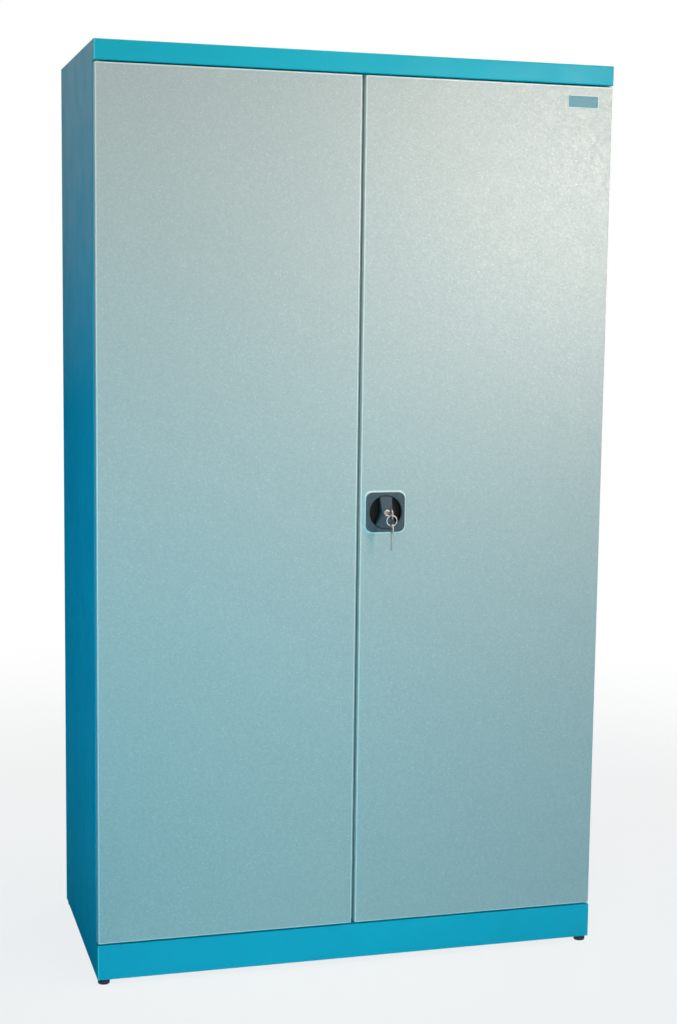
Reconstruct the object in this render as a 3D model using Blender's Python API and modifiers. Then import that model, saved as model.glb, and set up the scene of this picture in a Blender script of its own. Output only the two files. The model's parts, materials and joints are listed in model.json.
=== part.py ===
"""Two-door steel tool cabinet with a three-point rotary lock.

Sizes are in metres. Inside this file x runs to the right, y runs back from the doors' faces and
z runs up from the underside of the body. One root empty then puts the middle of the whole
object's footprint at the world origin, standing on its feet.
"""

import math

import bmesh
import bpy
from mathutils import Matrix, Vector

# Overall body
BODY_WIDTH = 1.000
BODY_DEPTH = 0.495
BODY_HEIGHT = 1.740
BAND_HEIGHT = 0.037
PLINTH_HEIGHT = 0.068
SILL_HEIGHT = 0.020

# Sheet steel
CARCASS_SHEET = 0.0012
DOOR_SHEET = 0.0012
SHELF_SHEET = 0.0010
BACK_SHEET = 0.0012
RAIL_SHEET = 0.0015
BEND_RADIUS = 0.0020
BEND_STEPS = 3
SEAT_GAP = 0.0003
CUT_OVERRUN = 0.010

# Doors
DOOR_THICKNESS = 0.022
DOOR_SIDE_INSET = 0.001
DOOR_END_GAP = 0.003
DOOR_CENTRE_GAP = 0.007
DOOR_BACK_GAP = 0.0035
DOOR_LIP = 0.015
DOOR_EDGE_RADIUS = 0.0020
STOP_HEIGHT = 0.020

# Carcass flanges
FRONT_FLANGE = 0.030
FRONT_FLANGE_RETURN = 0.015
REAR_FLANGE = 0.020
BASE_LIP = 0.030
FLOOR_FLANGE = 0.030
FLOOR_LIP = 0.012
BASE_RAIL_SHEET = 0.0020
BASE_RAIL_WIDTH = 0.030

# Door pivots
PIVOT_FROM_EDGE = 0.0065
PIVOT_FROM_BACK = 0.0065
PIN_RADIUS = 0.0030
PIN_HEAD_RADIUS = 0.0048
PIN_HEAD_HEIGHT = 0.0030
PIN_REACH = 0.016
PIN_CLEARANCE = 0.0002
BUSH_WALL = 0.0012
BUSH_FLANGE_RADIUS = 0.0057
BUSH_LENGTH = 0.012
ROUND_STEPS = 24

# Door fittings
STIFFENER_SHEET = 0.0010
STIFFENER_CROWN = 0.040
STIFFENER_SLOPE = 0.006
STIFFENER_BRIM = 0.014
STIFFENER_DEPTH = 0.016
STIFFENER_END_SPACE = 0.030
STRIP_DEPTH = 0.005
STRIP_FROM_BACK = 0.002
STRIP_TIP_CLEARANCE = 0.0012
STRIP_END_SPACE = 0.005
BUMPER_RADIUS = 0.006
BUMPER_FROM_CENTRE = 0.110

# Uprights, shelf rails and shelves
UPRIGHT_DEPTH = 0.030
UPRIGHT_HEIGHT_INTO_ROOM = 0.012
UPRIGHT_FRONT_SETBACK = 0.070
UPRIGHT_REAR_SETBACK = 0.035
UPRIGHT_TOP_SPACE = 0.025
SLOT_PITCH = 0.050
SLOT_HEIGHT = 0.014
SLOT_WIDTH = 0.005
SLOT_FIRST = 0.040
SHELF_SLOTS = (6, 12, 18, 25)
SHELF_DEPTH_FRONT_SETBACK = 0.060
SHELF_REAR_GAP = 0.004
SHELF_FLANGE = 0.028
SHELF_LIP = 0.012
SHELF_SIDE_GAP = 0.0006
RAIL_LEG = 0.022
RAIL_HEIGHT = 0.024
RAIL_OVERHANG = 0.008
HOOK_THICKNESS = 0.003
HOOK_NECK = 0.006
HOOK_DROP = 0.004
HOOK_CLEARANCE = 0.0005

# Levelling feet
FOOT_HEIGHT = 0.010
FOOT_RADIUS = 0.0115
FOOT_TOP_RADIUS = 0.0095
FOOT_ROUNDING = 0.0030
FOOT_FROM_SIDE = 0.013
FOOT_FROM_FRONT = 0.014
FOOT_FROM_REAR = 0.017
STUD_RADIUS = 0.0040
STUD_LENGTH = 0.032
STUD_CLEARANCE = 0.0004
NUT_WIDTH = 0.013
NUT_HEIGHT = 0.008

# Lock furniture on the right door
LOCK_FROM_CENTRE = 0.0525
LOCK_HEIGHT = 0.883
ESCUTCHEON_SIZE = 0.076
ESCUTCHEON_CORNER = 0.0125
ESCUTCHEON_PROUD = 0.006
DISH_RADIUS = 0.032
DISH_WALL = 0.003
DISH_FLOOR_DEPTH = 0.010
DISH_FLOOR_SHEET = 0.003
DISH_MOUTH_CHAMFER = 0.001
HANDLE_END_CLEARANCE = 0.0008
HANDLE_FLOOR_CLEARANCE = 0.0006
HANDLE_WAIST = 0.0095
HANDLE_TOP_HALF_WIDTH = 0.012
HANDLE_BOTTOM_HALF_WIDTH = 0.019
HANDLE_CREST_PROUD = 0.014
HANDLE_END_PROUD = 0.0055
HANDLE_CREST_HALF = 0.009
BOSS_RADIUS = 0.0095
BOSS_PROUD = 0.016
SPINDLE_RADIUS = 0.0060
SPINDLE_SQUARE = 0.009
SPINDLE_TAIL = 0.0015
SPINDLE_CLEARANCE = 0.0005
LOCK_BARREL_RADIUS = 0.0062
LOCK_BARREL_PROUD = 0.017
LOCK_BARREL_END = 0.005
LOCK_BARREL_CLEARANCE = 0.0003
PLUG_RADIUS = 0.0045
PLUG_SINK = 0.0002
KEYWAY_DEPTH = 0.018

# Keys and ring
KEY_THICKNESS = 0.0020
KEY_BLADE = 0.0064
KEY_CLEARANCE = 0.0003
KEY_BOW_RADIUS = 0.010
KEY_INSERTION = 0.016
KEY_STAND_OFF = 0.026
KEY_HOLE_RADIUS = 0.0025
KEY_HOLE_OFFSET = 0.004
KEY_NOTCH = 0.0016
KEY_TIP = 0.0025
KEY_NOTCH_SHARES = (0.40, 0.56, 0.72, 0.86)
KEY_NOTCH_HALF_SHARE = 0.045
RING_RADIUS = 0.0098
RING_WIRE = 0.0008
RING_SLACK = 0.00015

# Rack lock behind the right door
GEAR_MODULE = 0.002
PINION_TEETH = 12
PRESSURE_ANGLE = math.radians(20)
PINION_ADDENDUM = 0.0020
RACK_ADDENDUM = 0.0014
TOOTH_ROOT_CLEARANCE = 0.0005
TOOTH_BACKLASH = 0.0004
FLANK_STEPS = 4
RACK_TEETH = 7
RACK_TEETH_BEYOND = 2
RACK_END_SPACE = 0.003
ROD_WIDTH = 0.010
ROD_THICKNESS = 0.006
ROD_RUNNING_GAP = 0.0013
ROD_CHANNEL_GAP = 0.0004
ROD_TOP_SPACE = 0.003
ROD_SILL_SPACE = 0.0025
CASE_HALF_HEIGHT = 0.038
CASE_WALL = 0.0031
CASE_LIP = 0.0030
CASE_EDGE = 0.0015
GUIDE_HEIGHT = 0.020
GUIDE_SHEET = 0.0025
GUIDE_WALL = 0.004
GUIDE_FROM_DOOR_END = 0.060
GUIDE_EDGE_SPACE = 0.002

# Places that follow from the sizes above
HALF_WIDTH = BODY_WIDTH / 2
BAND_BOTTOM = BODY_HEIGHT - BAND_HEIGHT
SILL_TOP = PLINTH_HEIGHT + SILL_HEIGHT
FLOOR_TOP = PLINTH_HEIGHT
FRAME_Y = DOOR_THICKNESS + DOOR_BACK_GAP
DOOR_OUTER = HALF_WIDTH - DOOR_SIDE_INSET
DOOR_INNER = DOOR_CENTRE_GAP / 2
DOOR_BOTTOM = PLINTH_HEIGHT + DOOR_END_GAP
DOOR_TOP = BAND_BOTTOM - DOOR_END_GAP
PIVOT_X = DOOR_OUTER - PIVOT_FROM_EDGE
PIVOT_Y = DOOR_THICKNESS - PIVOT_FROM_BACK
INNER_FACE = HALF_WIDTH - CARCASS_SHEET - SEAT_GAP
BACK_PANEL_REAR = BODY_DEPTH - CARCASS_SHEET - SEAT_GAP
FLOOR_REAR = BACK_PANEL_REAR - BACK_SHEET - SEAT_GAP
BUSH_RADIUS = PIN_RADIUS + PIN_CLEARANCE + BUSH_WALL
UPRIGHT_FACE = INNER_FACE - UPRIGHT_HEIGHT_INTO_ROOM
UPRIGHT_BOTTOM = FLOOR_TOP + SEAT_GAP
UPRIGHT_TOP = BAND_BOTTOM - UPRIGHT_TOP_SPACE
UPRIGHT_FRONTS = (UPRIGHT_FRONT_SETBACK, FLOOR_REAR - UPRIGHT_REAR_SETBACK - UPRIGHT_DEPTH)
RAIL_FACE = UPRIGHT_FACE - SEAT_GAP
SHELF_HALF_WIDTH = RAIL_FACE - RAIL_SHEET - SHELF_SIDE_GAP
PITCH_RADIUS = GEAR_MODULE * PINION_TEETH / 2
TOOTH_PITCH = math.pi * GEAR_MODULE
ROD_INNER = PITCH_RADIUS + PINION_ADDENDUM + TOOTH_ROOT_CLEARANCE
ROD_OFFSET = ROD_INNER + ROD_WIDTH / 2
UPPER_ROD_X = LOCK_FROM_CENTRE - ROD_OFFSET
LOWER_ROD_X = LOCK_FROM_CENTRE + ROD_OFFSET
BOWL_REAR = DISH_FLOOR_DEPTH + DISH_FLOOR_SHEET
CASE_FRONT = BOWL_REAR + SEAT_GAP
ROD_SETBACK = FRAME_Y + CARCASS_SHEET + ROD_RUNNING_GAP
CASE_REAR = ROD_SETBACK + ROD_THICKNESS + CASE_LIP
SPINDLE_END = CASE_REAR + SPINDLE_TAIL
CASE_HALF_WIDTH = ROD_INNER + ROD_WIDTH + ROD_CHANNEL_GAP + CASE_WALL
CASE_POCKET = ROD_SETBACK - SEAT_GAP
KEY_BOW_PROUD = LOCK_BARREL_PROUD + KEY_STAND_OFF
KEY_HOLE_PROUD = KEY_BOW_PROUD + KEY_HOLE_OFFSET
KEY_LENGTH = KEY_STAND_OFF + KEY_INSERTION
RING_TOP = LOCK_HEIGHT - KEY_HOLE_RADIUS + RING_WIRE + RING_SLACK
RING_BOTTOM = RING_TOP - 2 * RING_RADIUS
SPARE_HOLE_Z = RING_BOTTOM + RING_WIRE + RING_SLACK - KEY_HOLE_RADIUS
PROJECTION = KEY_HOLE_PROUD + KEY_BOW_RADIUS
FOOTPRINT_SHIFT = (PROJECTION - BODY_DEPTH) / 2

# Axis letters for the helpers
ACROSS = (Vector((0, 1, 0)), Vector((0, 0, 1)), Vector((1, 0, 0)))
UPWARD = (Vector((1, 0, 0)), Vector((0, 1, 0)), Vector((0, 0, 1)))
BACKWARD = (Vector((1, 0, 0)), Vector((0, 0, 1)), Vector((0, 1, 0)))


def clear_scene():
    """Remove every object, so that the part starts from nothing."""
    for item in list(bpy.data.objects):
        bpy.data.objects.remove(item, do_unlink=True)


def new_collection(name):
    """Add a collection to the scene."""
    group = bpy.data.collections.new(name)
    bpy.context.scene.collection.children.link(group)
    return group


def linear(value):
    """Turn one sRGB channel, 0 to 1, into linear light."""
    return value / 12.92 if value <= 0.04045 else ((value + 0.055) / 1.055) ** 2.4


def make_material(name, colour, roughness, metallic):
    """A Principled material from an sRGB hex colour."""
    material = bpy.data.materials.new(name)
    material.use_nodes = True
    shader = material.node_tree.nodes["Principled BSDF"]
    channels = [linear(int(colour[i:i + 2], 16) / 255) for i in (0, 2, 4)]
    shader.inputs["Base Color"].default_value = (*channels, 1.0)
    shader.inputs["Roughness"].default_value = roughness
    shader.inputs["Metallic"].default_value = metallic
    return material


clear_scene()
PARTS = new_collection("tool_cabinet")
CUTTERS = new_collection("cutters")
ROOT = bpy.data.objects.new("cabinet_root", None)
ROOT.location = (0, FOOTPRINT_SHIFT, FOOT_HEIGHT)
PARTS.objects.link(ROOT)

BODY_PAINT = make_material("blue_green_body_paint", "0098B0", 0.35, 0.0)
DOOR_PAINT = make_material("silver_grey_textured_paint", "B4C0C0", 0.4, 0.3)
ZINC = make_material("zinc_plated_steel", "B9BCBC", 0.35, 1.0)
STEEL = make_material("bright_steel", "C8C9C7", 0.25, 1.0)
CHROME = make_material("chrome_plate", "D8DADB", 0.1, 1.0)
BLACK_PLASTIC = make_material("black_moulded_plastic", "34393D", 0.45, 0.0)
NYLON = make_material("grey_nylon", "8C8F90", 0.5, 0.0)
RUBBER = make_material("black_rubber", "1D1E20", 0.7, 0.0)
DIE_CAST = make_material("die_cast_zinc", "9A9C9E", 0.45, 1.0)


def add_part(name, mesh, material, pivot=(0, 0, 0)):
    """Place a mesh drawn in cabinet coordinates as a part whose origin is its pivot."""
    part = bpy.data.objects.new(name, mesh)
    mesh.transform(Matrix.Translation(-Vector(pivot)))
    part.location = pivot
    part.parent = ROOT
    mesh.materials.clear()
    mesh.materials.append(material)
    PARTS.objects.link(part)
    return part


def add_cutter(name, mesh):
    """Place a mesh drawn in cabinet coordinates as a hidden helper for a Boolean."""
    cutter = bpy.data.objects.new(name, mesh)
    cutter.parent = ROOT
    cutter.hide_render = True
    cutter.display_type = "WIRE"
    CUTTERS.objects.link(cutter)
    return cutter


def combine(part, helper, operation):
    """Cut, join or intersect a part with a helper through a Boolean modifier."""
    modifier = part.modifiers.new(f"{operation.lower()}_{helper.name}", "BOOLEAN")
    modifier.operation = operation
    modifier.solver = "EXACT"
    modifier.object = helper


def cut(part, mesh):
    """Take a helper mesh away from a part."""
    combine(part, add_cutter(f"{part.name}_cutter", mesh), "DIFFERENCE")


def join(part, mesh):
    """Fuse a helper mesh to a part."""
    combine(part, add_cutter(f"{part.name}_joined", mesh), "UNION")


def finish_mesh(name, bm):
    """Turn a bmesh into a mesh with its faces pointing out."""
    bmesh.ops.recalc_face_normals(bm, faces=bm.faces)
    mesh = bpy.data.meshes.new(name)
    bm.to_mesh(mesh)
    bm.free()
    return mesh


def boxes(name, corners):
    """Separate boxes, each given by its low and high corner, in one mesh."""
    bm = bmesh.new()
    for low, high in corners:
        low, high = Vector(low), Vector(high)
        size = Matrix.Diagonal((*(high - low), 1))
        bmesh.ops.create_cube(bm, size=1, matrix=Matrix.Translation((low + high) / 2) @ size)
    return finish_mesh(name, bm)


def cylinder(name, radius, start, end, steps=ROUND_STEPS):
    """A plain cylinder between two points."""
    start, end = Vector(start), Vector(end)
    turn = Vector((0, 0, 1)).rotation_difference(end - start).to_matrix().to_4x4()
    bm = bmesh.new()
    bmesh.ops.create_cone(
        bm, cap_ends=True, segments=steps, radius1=radius, radius2=radius,
        depth=(end - start).length, matrix=Matrix.Translation((start + end) / 2) @ turn)
    return finish_mesh(name, bm)


def arc(centre, radius, start, stop, steps):
    """Points on an arc, both ends included."""
    angles = [start + (stop - start) * i / steps for i in range(steps + 1)]
    return [(centre[0] + radius * math.cos(a), centre[1] + radius * math.sin(a)) for a in angles]


def rounded_path(points, radius):
    """Replace each inner corner of an open path by an arc."""
    path = [Vector(points[0])]
    for before, corner, after in zip(points, points[1:], points[2:]):
        corner = Vector(corner)
        to_before = (Vector(before) - corner).normalized()
        to_after = (Vector(after) - corner).normalized()
        half = to_before.angle(to_after) / 2
        reach = radius / math.tan(half)
        middle = corner + (to_before + to_after).normalized() * (radius / math.sin(half))
        first = corner + to_before * reach - middle
        last = corner + to_after * reach - middle
        for i in range(BEND_STEPS + 1):
            blend = first.lerp(last, i / BEND_STEPS)
            path.append(middle + blend.normalized() * radius)
    path.append(Vector(points[-1]))
    return path


def bent_sheet(name, points, sheet, start, end, axes, material, radius=BEND_RADIUS):
    """Sheet metal folded along a path and run straight, an open strip given its thickness."""
    first, second, run = axes
    bm = bmesh.new()
    row = [bm.verts.new(first * p.x + second * p.y + run * start)
           for p in rounded_path(points, radius)]
    edges = [bm.edges.new(pair) for pair in zip(row, row[1:])]
    moved = bmesh.ops.extrude_edge_only(bm, edges=edges)["geom"]
    fresh = [item for item in moved if isinstance(item, bmesh.types.BMVert)]
    bmesh.ops.translate(bm, verts=fresh, vec=run * (end - start))
    part = add_part(name, finish_mesh(name, bm), material)
    thickness = part.modifiers.new("sheet", "SOLIDIFY")
    thickness.thickness = sheet
    thickness.offset = 0
    thickness.use_even_offset = True
    return part


def outline_mesh(name, outlines, low, high, axes):
    """A flat outline, with any holes, filled and given its thickness between two planes."""
    first, second, run = axes
    curve = bpy.data.curves.new(name, "CURVE")
    curve.dimensions = "2D"
    curve.fill_mode = "BOTH"
    curve.extrude = (high - low) / 2
    for outline in outlines:
        spline = curve.splines.new("POLY")
        spline.points.add(len(outline) - 1)
        for point, place in zip(spline.points, outline):
            point.co = (place[0], place[1], 0, 1)
        spline.use_cyclic_u = True
    holder = bpy.data.objects.new(name, curve)
    CUTTERS.objects.link(holder)
    evaluated = holder.evaluated_get(bpy.context.evaluated_depsgraph_get())
    mesh = bpy.data.meshes.new_from_object(evaluated)
    bpy.data.objects.remove(holder)
    bpy.data.curves.remove(curve)
    turn = Matrix((first, second, run)).transposed().to_4x4()
    bm = bmesh.new()
    bm.from_mesh(mesh)
    bpy.data.meshes.remove(mesh)
    bmesh.ops.transform(bm, verts=bm.verts, matrix=turn @ Matrix.Translation((0, 0, (low + high) / 2)))
    bmesh.ops.remove_doubles(bm, verts=bm.verts, dist=SEAT_GAP / 100)
    return finish_mesh(name, bm)


def turned_mesh(name, profile, steps=ROUND_STEPS):
    """A solid of revolution about Z from (radius, height) points, outer side top to bottom."""
    bm = bmesh.new()
    row = [bm.verts.new((radius, 0, height)) for radius, height in profile]
    closed = min(radius for radius, height in profile) > 0
    pairs = zip(row, row[1:] + row[:1]) if closed else zip(row, row[1:])
    for pair in pairs:
        bm.edges.new(pair)
    mesh = bpy.data.meshes.new(name)
    bm.to_mesh(mesh)
    bm.free()
    holder = bpy.data.objects.new(name, mesh)
    CUTTERS.objects.link(holder)
    screw = holder.modifiers.new("turn", "SCREW")
    screw.axis = "Z"
    screw.steps = steps
    screw.render_steps = steps
    screw.use_merge_vertices = True
    screw.merge_threshold = SEAT_GAP / 100
    evaluated = holder.evaluated_get(bpy.context.evaluated_depsgraph_get())
    result = bpy.data.meshes.new_from_object(evaluated)
    bpy.data.objects.remove(holder)
    bpy.data.meshes.remove(mesh)
    bm = bmesh.new()
    bm.from_mesh(result)
    bpy.data.meshes.remove(result)
    bmesh.ops.remove_doubles(bm, verts=bm.verts, dist=SEAT_GAP / 100)
    return finish_mesh(name, bm)


def stand_at(mesh, place):
    """Move a mesh to its place."""
    mesh.transform(Matrix.Translation(place))
    return mesh


def face_front(mesh, place):
    """Turn a mesh made along +Z so that it points out of the doors, and move it to its place."""
    mesh.transform(Matrix.Translation(place) @ Matrix.Rotation(math.pi / 2, 4, "X"))
    return mesh


def smooth(part):
    """Shade the round faces smooth and keep the sharp edges."""
    part.data.shade_smooth()
    part.data.set_sharp_from_angle(angle=math.radians(35))
    return part


def tray(name, low, high, open_axis, sheet, lip, radius, material, pivot=(0, 0, 0)):
    """A folded sheet tray: a box open on one side, its face edges bent round, its rim turned in."""
    low, high = Vector(low), Vector(high)
    axis = "XYZ".index(open_axis[1])
    outward = 1 if open_axis[0] == "+" else -1
    open_at = high[axis] if outward > 0 else low[axis]
    bm = bmesh.new()
    size = Matrix.Diagonal((*(high - low), 1))
    bmesh.ops.create_cube(bm, size=1, matrix=Matrix.Translation((low + high) / 2) @ size)
    bmesh.ops.recalc_face_normals(bm, faces=bm.faces)
    mouth = next(f for f in bm.faces if f.normal[axis] * outward > 0.5)
    bmesh.ops.delete(bm, geom=[mouth], context="FACES_ONLY")
    face = next(f for f in bm.faces if f.normal[axis] * outward < -0.5)
    bmesh.ops.bevel(bm, geom=list(face.edges), offset=radius, segments=BEND_STEPS,
                    profile=0.5, affect="EDGES")
    rim = [edge for edge in bm.edges if edge.is_boundary]
    moved = bmesh.ops.extrude_edge_only(bm, edges=rim)["geom"]
    middle = (low + high) / 2
    for vert in (item for item in moved if isinstance(item, bmesh.types.BMVert)):
        for other in range(3):
            if other != axis:
                vert.co[other] += math.copysign(lip, middle[other] - vert.co[other])
        vert.co[axis] = open_at
    bmesh.ops.recalc_face_normals(bm, faces=bm.faces)
    outside = max(bm.faces, key=lambda face: face.calc_area())
    if outside.normal[axis] * outward > 0:
        bmesh.ops.reverse_faces(bm, faces=bm.faces)
    mesh = bpy.data.meshes.new(name)
    bm.to_mesh(mesh)
    bm.free()
    part = add_part(name, mesh, material, pivot)
    thickness = part.modifiers.new("sheet", "SOLIDIFY")
    thickness.thickness = sheet
    thickness.offset = -1
    thickness.use_even_offset = True
    return part


def side_name(side):
    """The word for a side of the cabinet, -1 or 1."""
    return "left" if side < 0 else "right"


def side_panel(side):
    """Outer wall with its folded front and rear flanges, notched for the cover and the base."""
    name = f"{side_name(side)}_side_panel"
    middle = CARCASS_SHEET / 2
    wall = side * (HALF_WIDTH - middle)
    front_edge = side * (HALF_WIDTH - FRONT_FLANGE)
    points = [
        (side * (HALF_WIDTH - REAR_FLANGE), BODY_DEPTH - middle),
        (wall, BODY_DEPTH - middle),
        (wall, FRAME_Y + middle),
        (front_edge, FRAME_Y + middle),
        (front_edge, FRAME_Y + FRONT_FLANGE_RETURN),
    ]
    top = BODY_HEIGHT - CARCASS_SHEET - SEAT_GAP
    panel = bent_sheet(name, points, CARCASS_SHEET, 0, top, UPWARD, BODY_PAINT)
    inside = side * (HALF_WIDTH - CARCASS_SHEET - SEAT_GAP / 2)
    past = side * (HALF_WIDTH - FRONT_FLANGE - CUT_OVERRUN)
    left, right = sorted((inside, past))
    front = FRAME_Y - CUT_OVERRUN
    rear = FRAME_Y + FRONT_FLANGE_RETURN + CUT_OVERRUN
    cut(panel, boxes(f"{name}_ends", [
        ((left, front, -CUT_OVERRUN), (right, rear, SILL_TOP + SEAT_GAP)),
        ((left, front, BAND_BOTTOM - STOP_HEIGHT - SEAT_GAP), (right, rear, top + CUT_OVERRUN)),
    ]))
    return panel


def join_end_plates(part, bottom, top):
    """Close both ends of the top band or the plinth with plates that follow its bends."""
    front = CARCASS_SHEET / 2
    rear = FRAME_Y - 2 * SEAT_GAP
    outline = rounded_path([(rear, bottom), (front, bottom), (front, top), (rear, top)], BEND_RADIUS)
    outer = HALF_WIDTH - SEAT_GAP / 2
    for side in (-1, 1):
        left, right = sorted((side * (outer - CARCASS_SHEET), side * outer))
        join(part, outline_mesh(f"{part.name}_end", [outline], left, right, ACROSS))


def end_clearances(bottom, top, front, rear, reach):
    """Boxes that take a folded sheet back from both side panels."""
    clearances = []
    for side in (-1, 1):
        left, right = sorted((side * reach, side * (HALF_WIDTH + CUT_OVERRUN)))
        clearances.append(((left, front, bottom), (right, rear, top)))
    return clearances


def pin_holes(height):
    """Holes for both doors' hinge pins in a lip at the given height."""
    bm = bmesh.new()
    for side in (-1, 1):
        place = Matrix.Translation((side * PIVOT_X, PIVOT_Y, height))
        bmesh.ops.create_cone(
            bm, cap_ends=True, segments=ROUND_STEPS, radius1=PIN_RADIUS + PIN_CLEARANCE,
            radius2=PIN_RADIUS + PIN_CLEARANCE, depth=BEND_RADIUS * 2, matrix=place)
    return finish_mesh("pin_holes", bm)


def top_cover():
    """Top sheet with the front band, the lip above the doors, their stop and a rear flange."""
    middle = CARCASS_SHEET / 2
    points = [
        (FRAME_Y + middle, BAND_BOTTOM - STOP_HEIGHT),
        (FRAME_Y + middle, BAND_BOTTOM + middle),
        (middle, BAND_BOTTOM + middle),
        (middle, BODY_HEIGHT - middle),
        (BODY_DEPTH - middle, BODY_HEIGHT - middle),
        (BODY_DEPTH - middle, BAND_BOTTOM),
    ]
    cover = bent_sheet("top_cover", points, CARCASS_SHEET, -HALF_WIDTH, HALF_WIDTH, ACROSS,
                       BODY_PAINT)
    low = BAND_BOTTOM - STOP_HEIGHT - CUT_OVERRUN
    high = BODY_HEIGHT - CARCASS_SHEET - SEAT_GAP / 2
    rear = BODY_DEPTH + CUT_OVERRUN
    side_room = end_clearances(low, high, FRAME_Y - SEAT_GAP, rear, INNER_FACE)
    cut(cover, boxes("cover_side_room", side_room))
    flange_reach = HALF_WIDTH - REAR_FLANGE - SEAT_GAP
    rear_room = end_clearances(low, high, BODY_DEPTH - REAR_FLANGE, rear, flange_reach)
    cut(cover, boxes("cover_rear_room", rear_room))
    cut(cover, pin_holes(BAND_BOTTOM + middle))
    join_end_plates(cover, BAND_BOTTOM + middle, BODY_HEIGHT - middle)
    return cover


def plinth_rail():
    """Plinth with its bottom lip, the lip under the doors and the raised sill behind them."""
    middle = CARCASS_SHEET / 2
    points = [
        (BASE_LIP, middle),
        (middle, middle),
        (middle, PLINTH_HEIGHT - middle),
        (FRAME_Y + middle, PLINTH_HEIGHT - middle),
        (FRAME_Y + middle, SILL_TOP),
    ]
    plinth = bent_sheet("plinth_rail", points, CARCASS_SHEET, -HALF_WIDTH, HALF_WIDTH, ACROSS,
                        BODY_PAINT)
    room = end_clearances(-CUT_OVERRUN, SILL_TOP + CUT_OVERRUN, FRAME_Y - SEAT_GAP,
                          BODY_DEPTH + CUT_OVERRUN, INNER_FACE)
    cut(plinth, boxes("plinth_side_room", room))
    cut(plinth, pin_holes(PLINTH_HEIGHT - middle))
    for side in (-1, 1):
        place = (side * (HALF_WIDTH - FOOT_FROM_SIDE), FOOT_FROM_FRONT)
        cut(plinth, cylinder("foot_hole", STUD_RADIUS + STUD_CLEARANCE,
                             (*place, -CARCASS_SHEET), (*place, 2 * CARCASS_SHEET)))
    join_end_plates(plinth, middle, PLINTH_HEIGHT - middle)
    return plinth


def floor_panel():
    """Floor pressed as a tray that is open below, sunk behind the sill."""
    low = (-INNER_FACE, FRAME_Y + CARCASS_SHEET + SEAT_GAP, FLOOR_TOP - FLOOR_FLANGE)
    high = (INNER_FACE, FLOOR_REAR, FLOOR_TOP)
    return tray("floor_panel", low, high, "-Z", CARCASS_SHEET, FLOOR_LIP, BEND_RADIUS, BODY_PAINT)


def base_rail(side):
    """Angle along the foot of a side panel that carries the floor and the rear foot."""
    name = f"{side_name(side)}_base_rail"
    middle = BASE_RAIL_SHEET / 2
    wall = side * (INNER_FACE - middle)
    points = [
        (wall, FLOOR_TOP - FLOOR_FLANGE - SEAT_GAP),
        (wall, middle),
        (side * (INNER_FACE - BASE_RAIL_WIDTH), middle),
    ]
    front = BASE_LIP + SEAT_GAP
    rail = bent_sheet(name, points, BASE_RAIL_SHEET, front, FLOOR_REAR, BACKWARD, ZINC)
    place = (side * (HALF_WIDTH - FOOT_FROM_SIDE), BODY_DEPTH - FOOT_FROM_REAR)
    cut(rail, cylinder("foot_hole", STUD_RADIUS + STUD_CLEARANCE,
                       (*place, -BASE_RAIL_SHEET), (*place, 2 * BASE_RAIL_SHEET)))
    return rail


def back_panel():
    """Plain sheet inside the rear flanges."""
    half = INNER_FACE - BEND_RADIUS
    low = (-half, BACK_PANEL_REAR - BACK_SHEET, SEAT_GAP)
    high = (half, BACK_PANEL_REAR, BODY_HEIGHT - CARCASS_SHEET - BEND_RADIUS)
    return add_part("back_panel", boxes("back_panel", [(low, high)]), BODY_PAINT)


def slot_heights():
    """Heights of the slots' middles in an upright."""
    first = UPRIGHT_BOTTOM + SLOT_FIRST
    count = int((UPRIGHT_TOP - SLOT_HEIGHT - first) / SLOT_PITCH) + 1
    return [first + SLOT_PITCH * i for i in range(count)]


def upright(side, position, front):
    """Channel against a side panel, with a column of slots for the shelf rails."""
    name = f"{position}_{side_name(side)}_upright"
    middle = CARCASS_SHEET / 2
    foot = side * INNER_FACE
    face = side * (UPRIGHT_FACE + middle)
    rear = front + UPRIGHT_DEPTH
    points = [(foot, front), (face, front), (face, rear), (foot, rear)]
    post = bent_sheet(name, points, CARCASS_SHEET, UPRIGHT_BOTTOM, UPRIGHT_TOP, UPWARD, ZINC)
    left, right = sorted((face - side * CUT_OVERRUN / 2, face + side * CUT_OVERRUN / 2))
    slot_front = front + (UPRIGHT_DEPTH - SLOT_WIDTH) / 2
    cut(post, boxes(f"{name}_slots", [
        ((left, slot_front, z - SLOT_HEIGHT / 2),
         (right, slot_front + SLOT_WIDTH, z + SLOT_HEIGHT / 2)) for z in slot_heights()]))
    return post


def shelf_tops():
    """Heights of the shelves' top faces, each hung on its chosen slot."""
    heights = slot_heights()
    return [heights[slot] + SHELF_FLANGE / 2 for slot in SHELF_SLOTS if slot < len(heights)]


def shelf(number, top):
    """Shelf pressed as a shallow tray, open below."""
    low = (-SHELF_HALF_WIDTH, SHELF_DEPTH_FRONT_SETBACK, top - SHELF_FLANGE)
    high = (SHELF_HALF_WIDTH, FLOOR_REAR - SHELF_REAR_GAP, top)
    return tray(f"shelf_{number}", low, high, "-Z", SHELF_SHEET, SHELF_LIP, BEND_RADIUS,
                BODY_PAINT)


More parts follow.
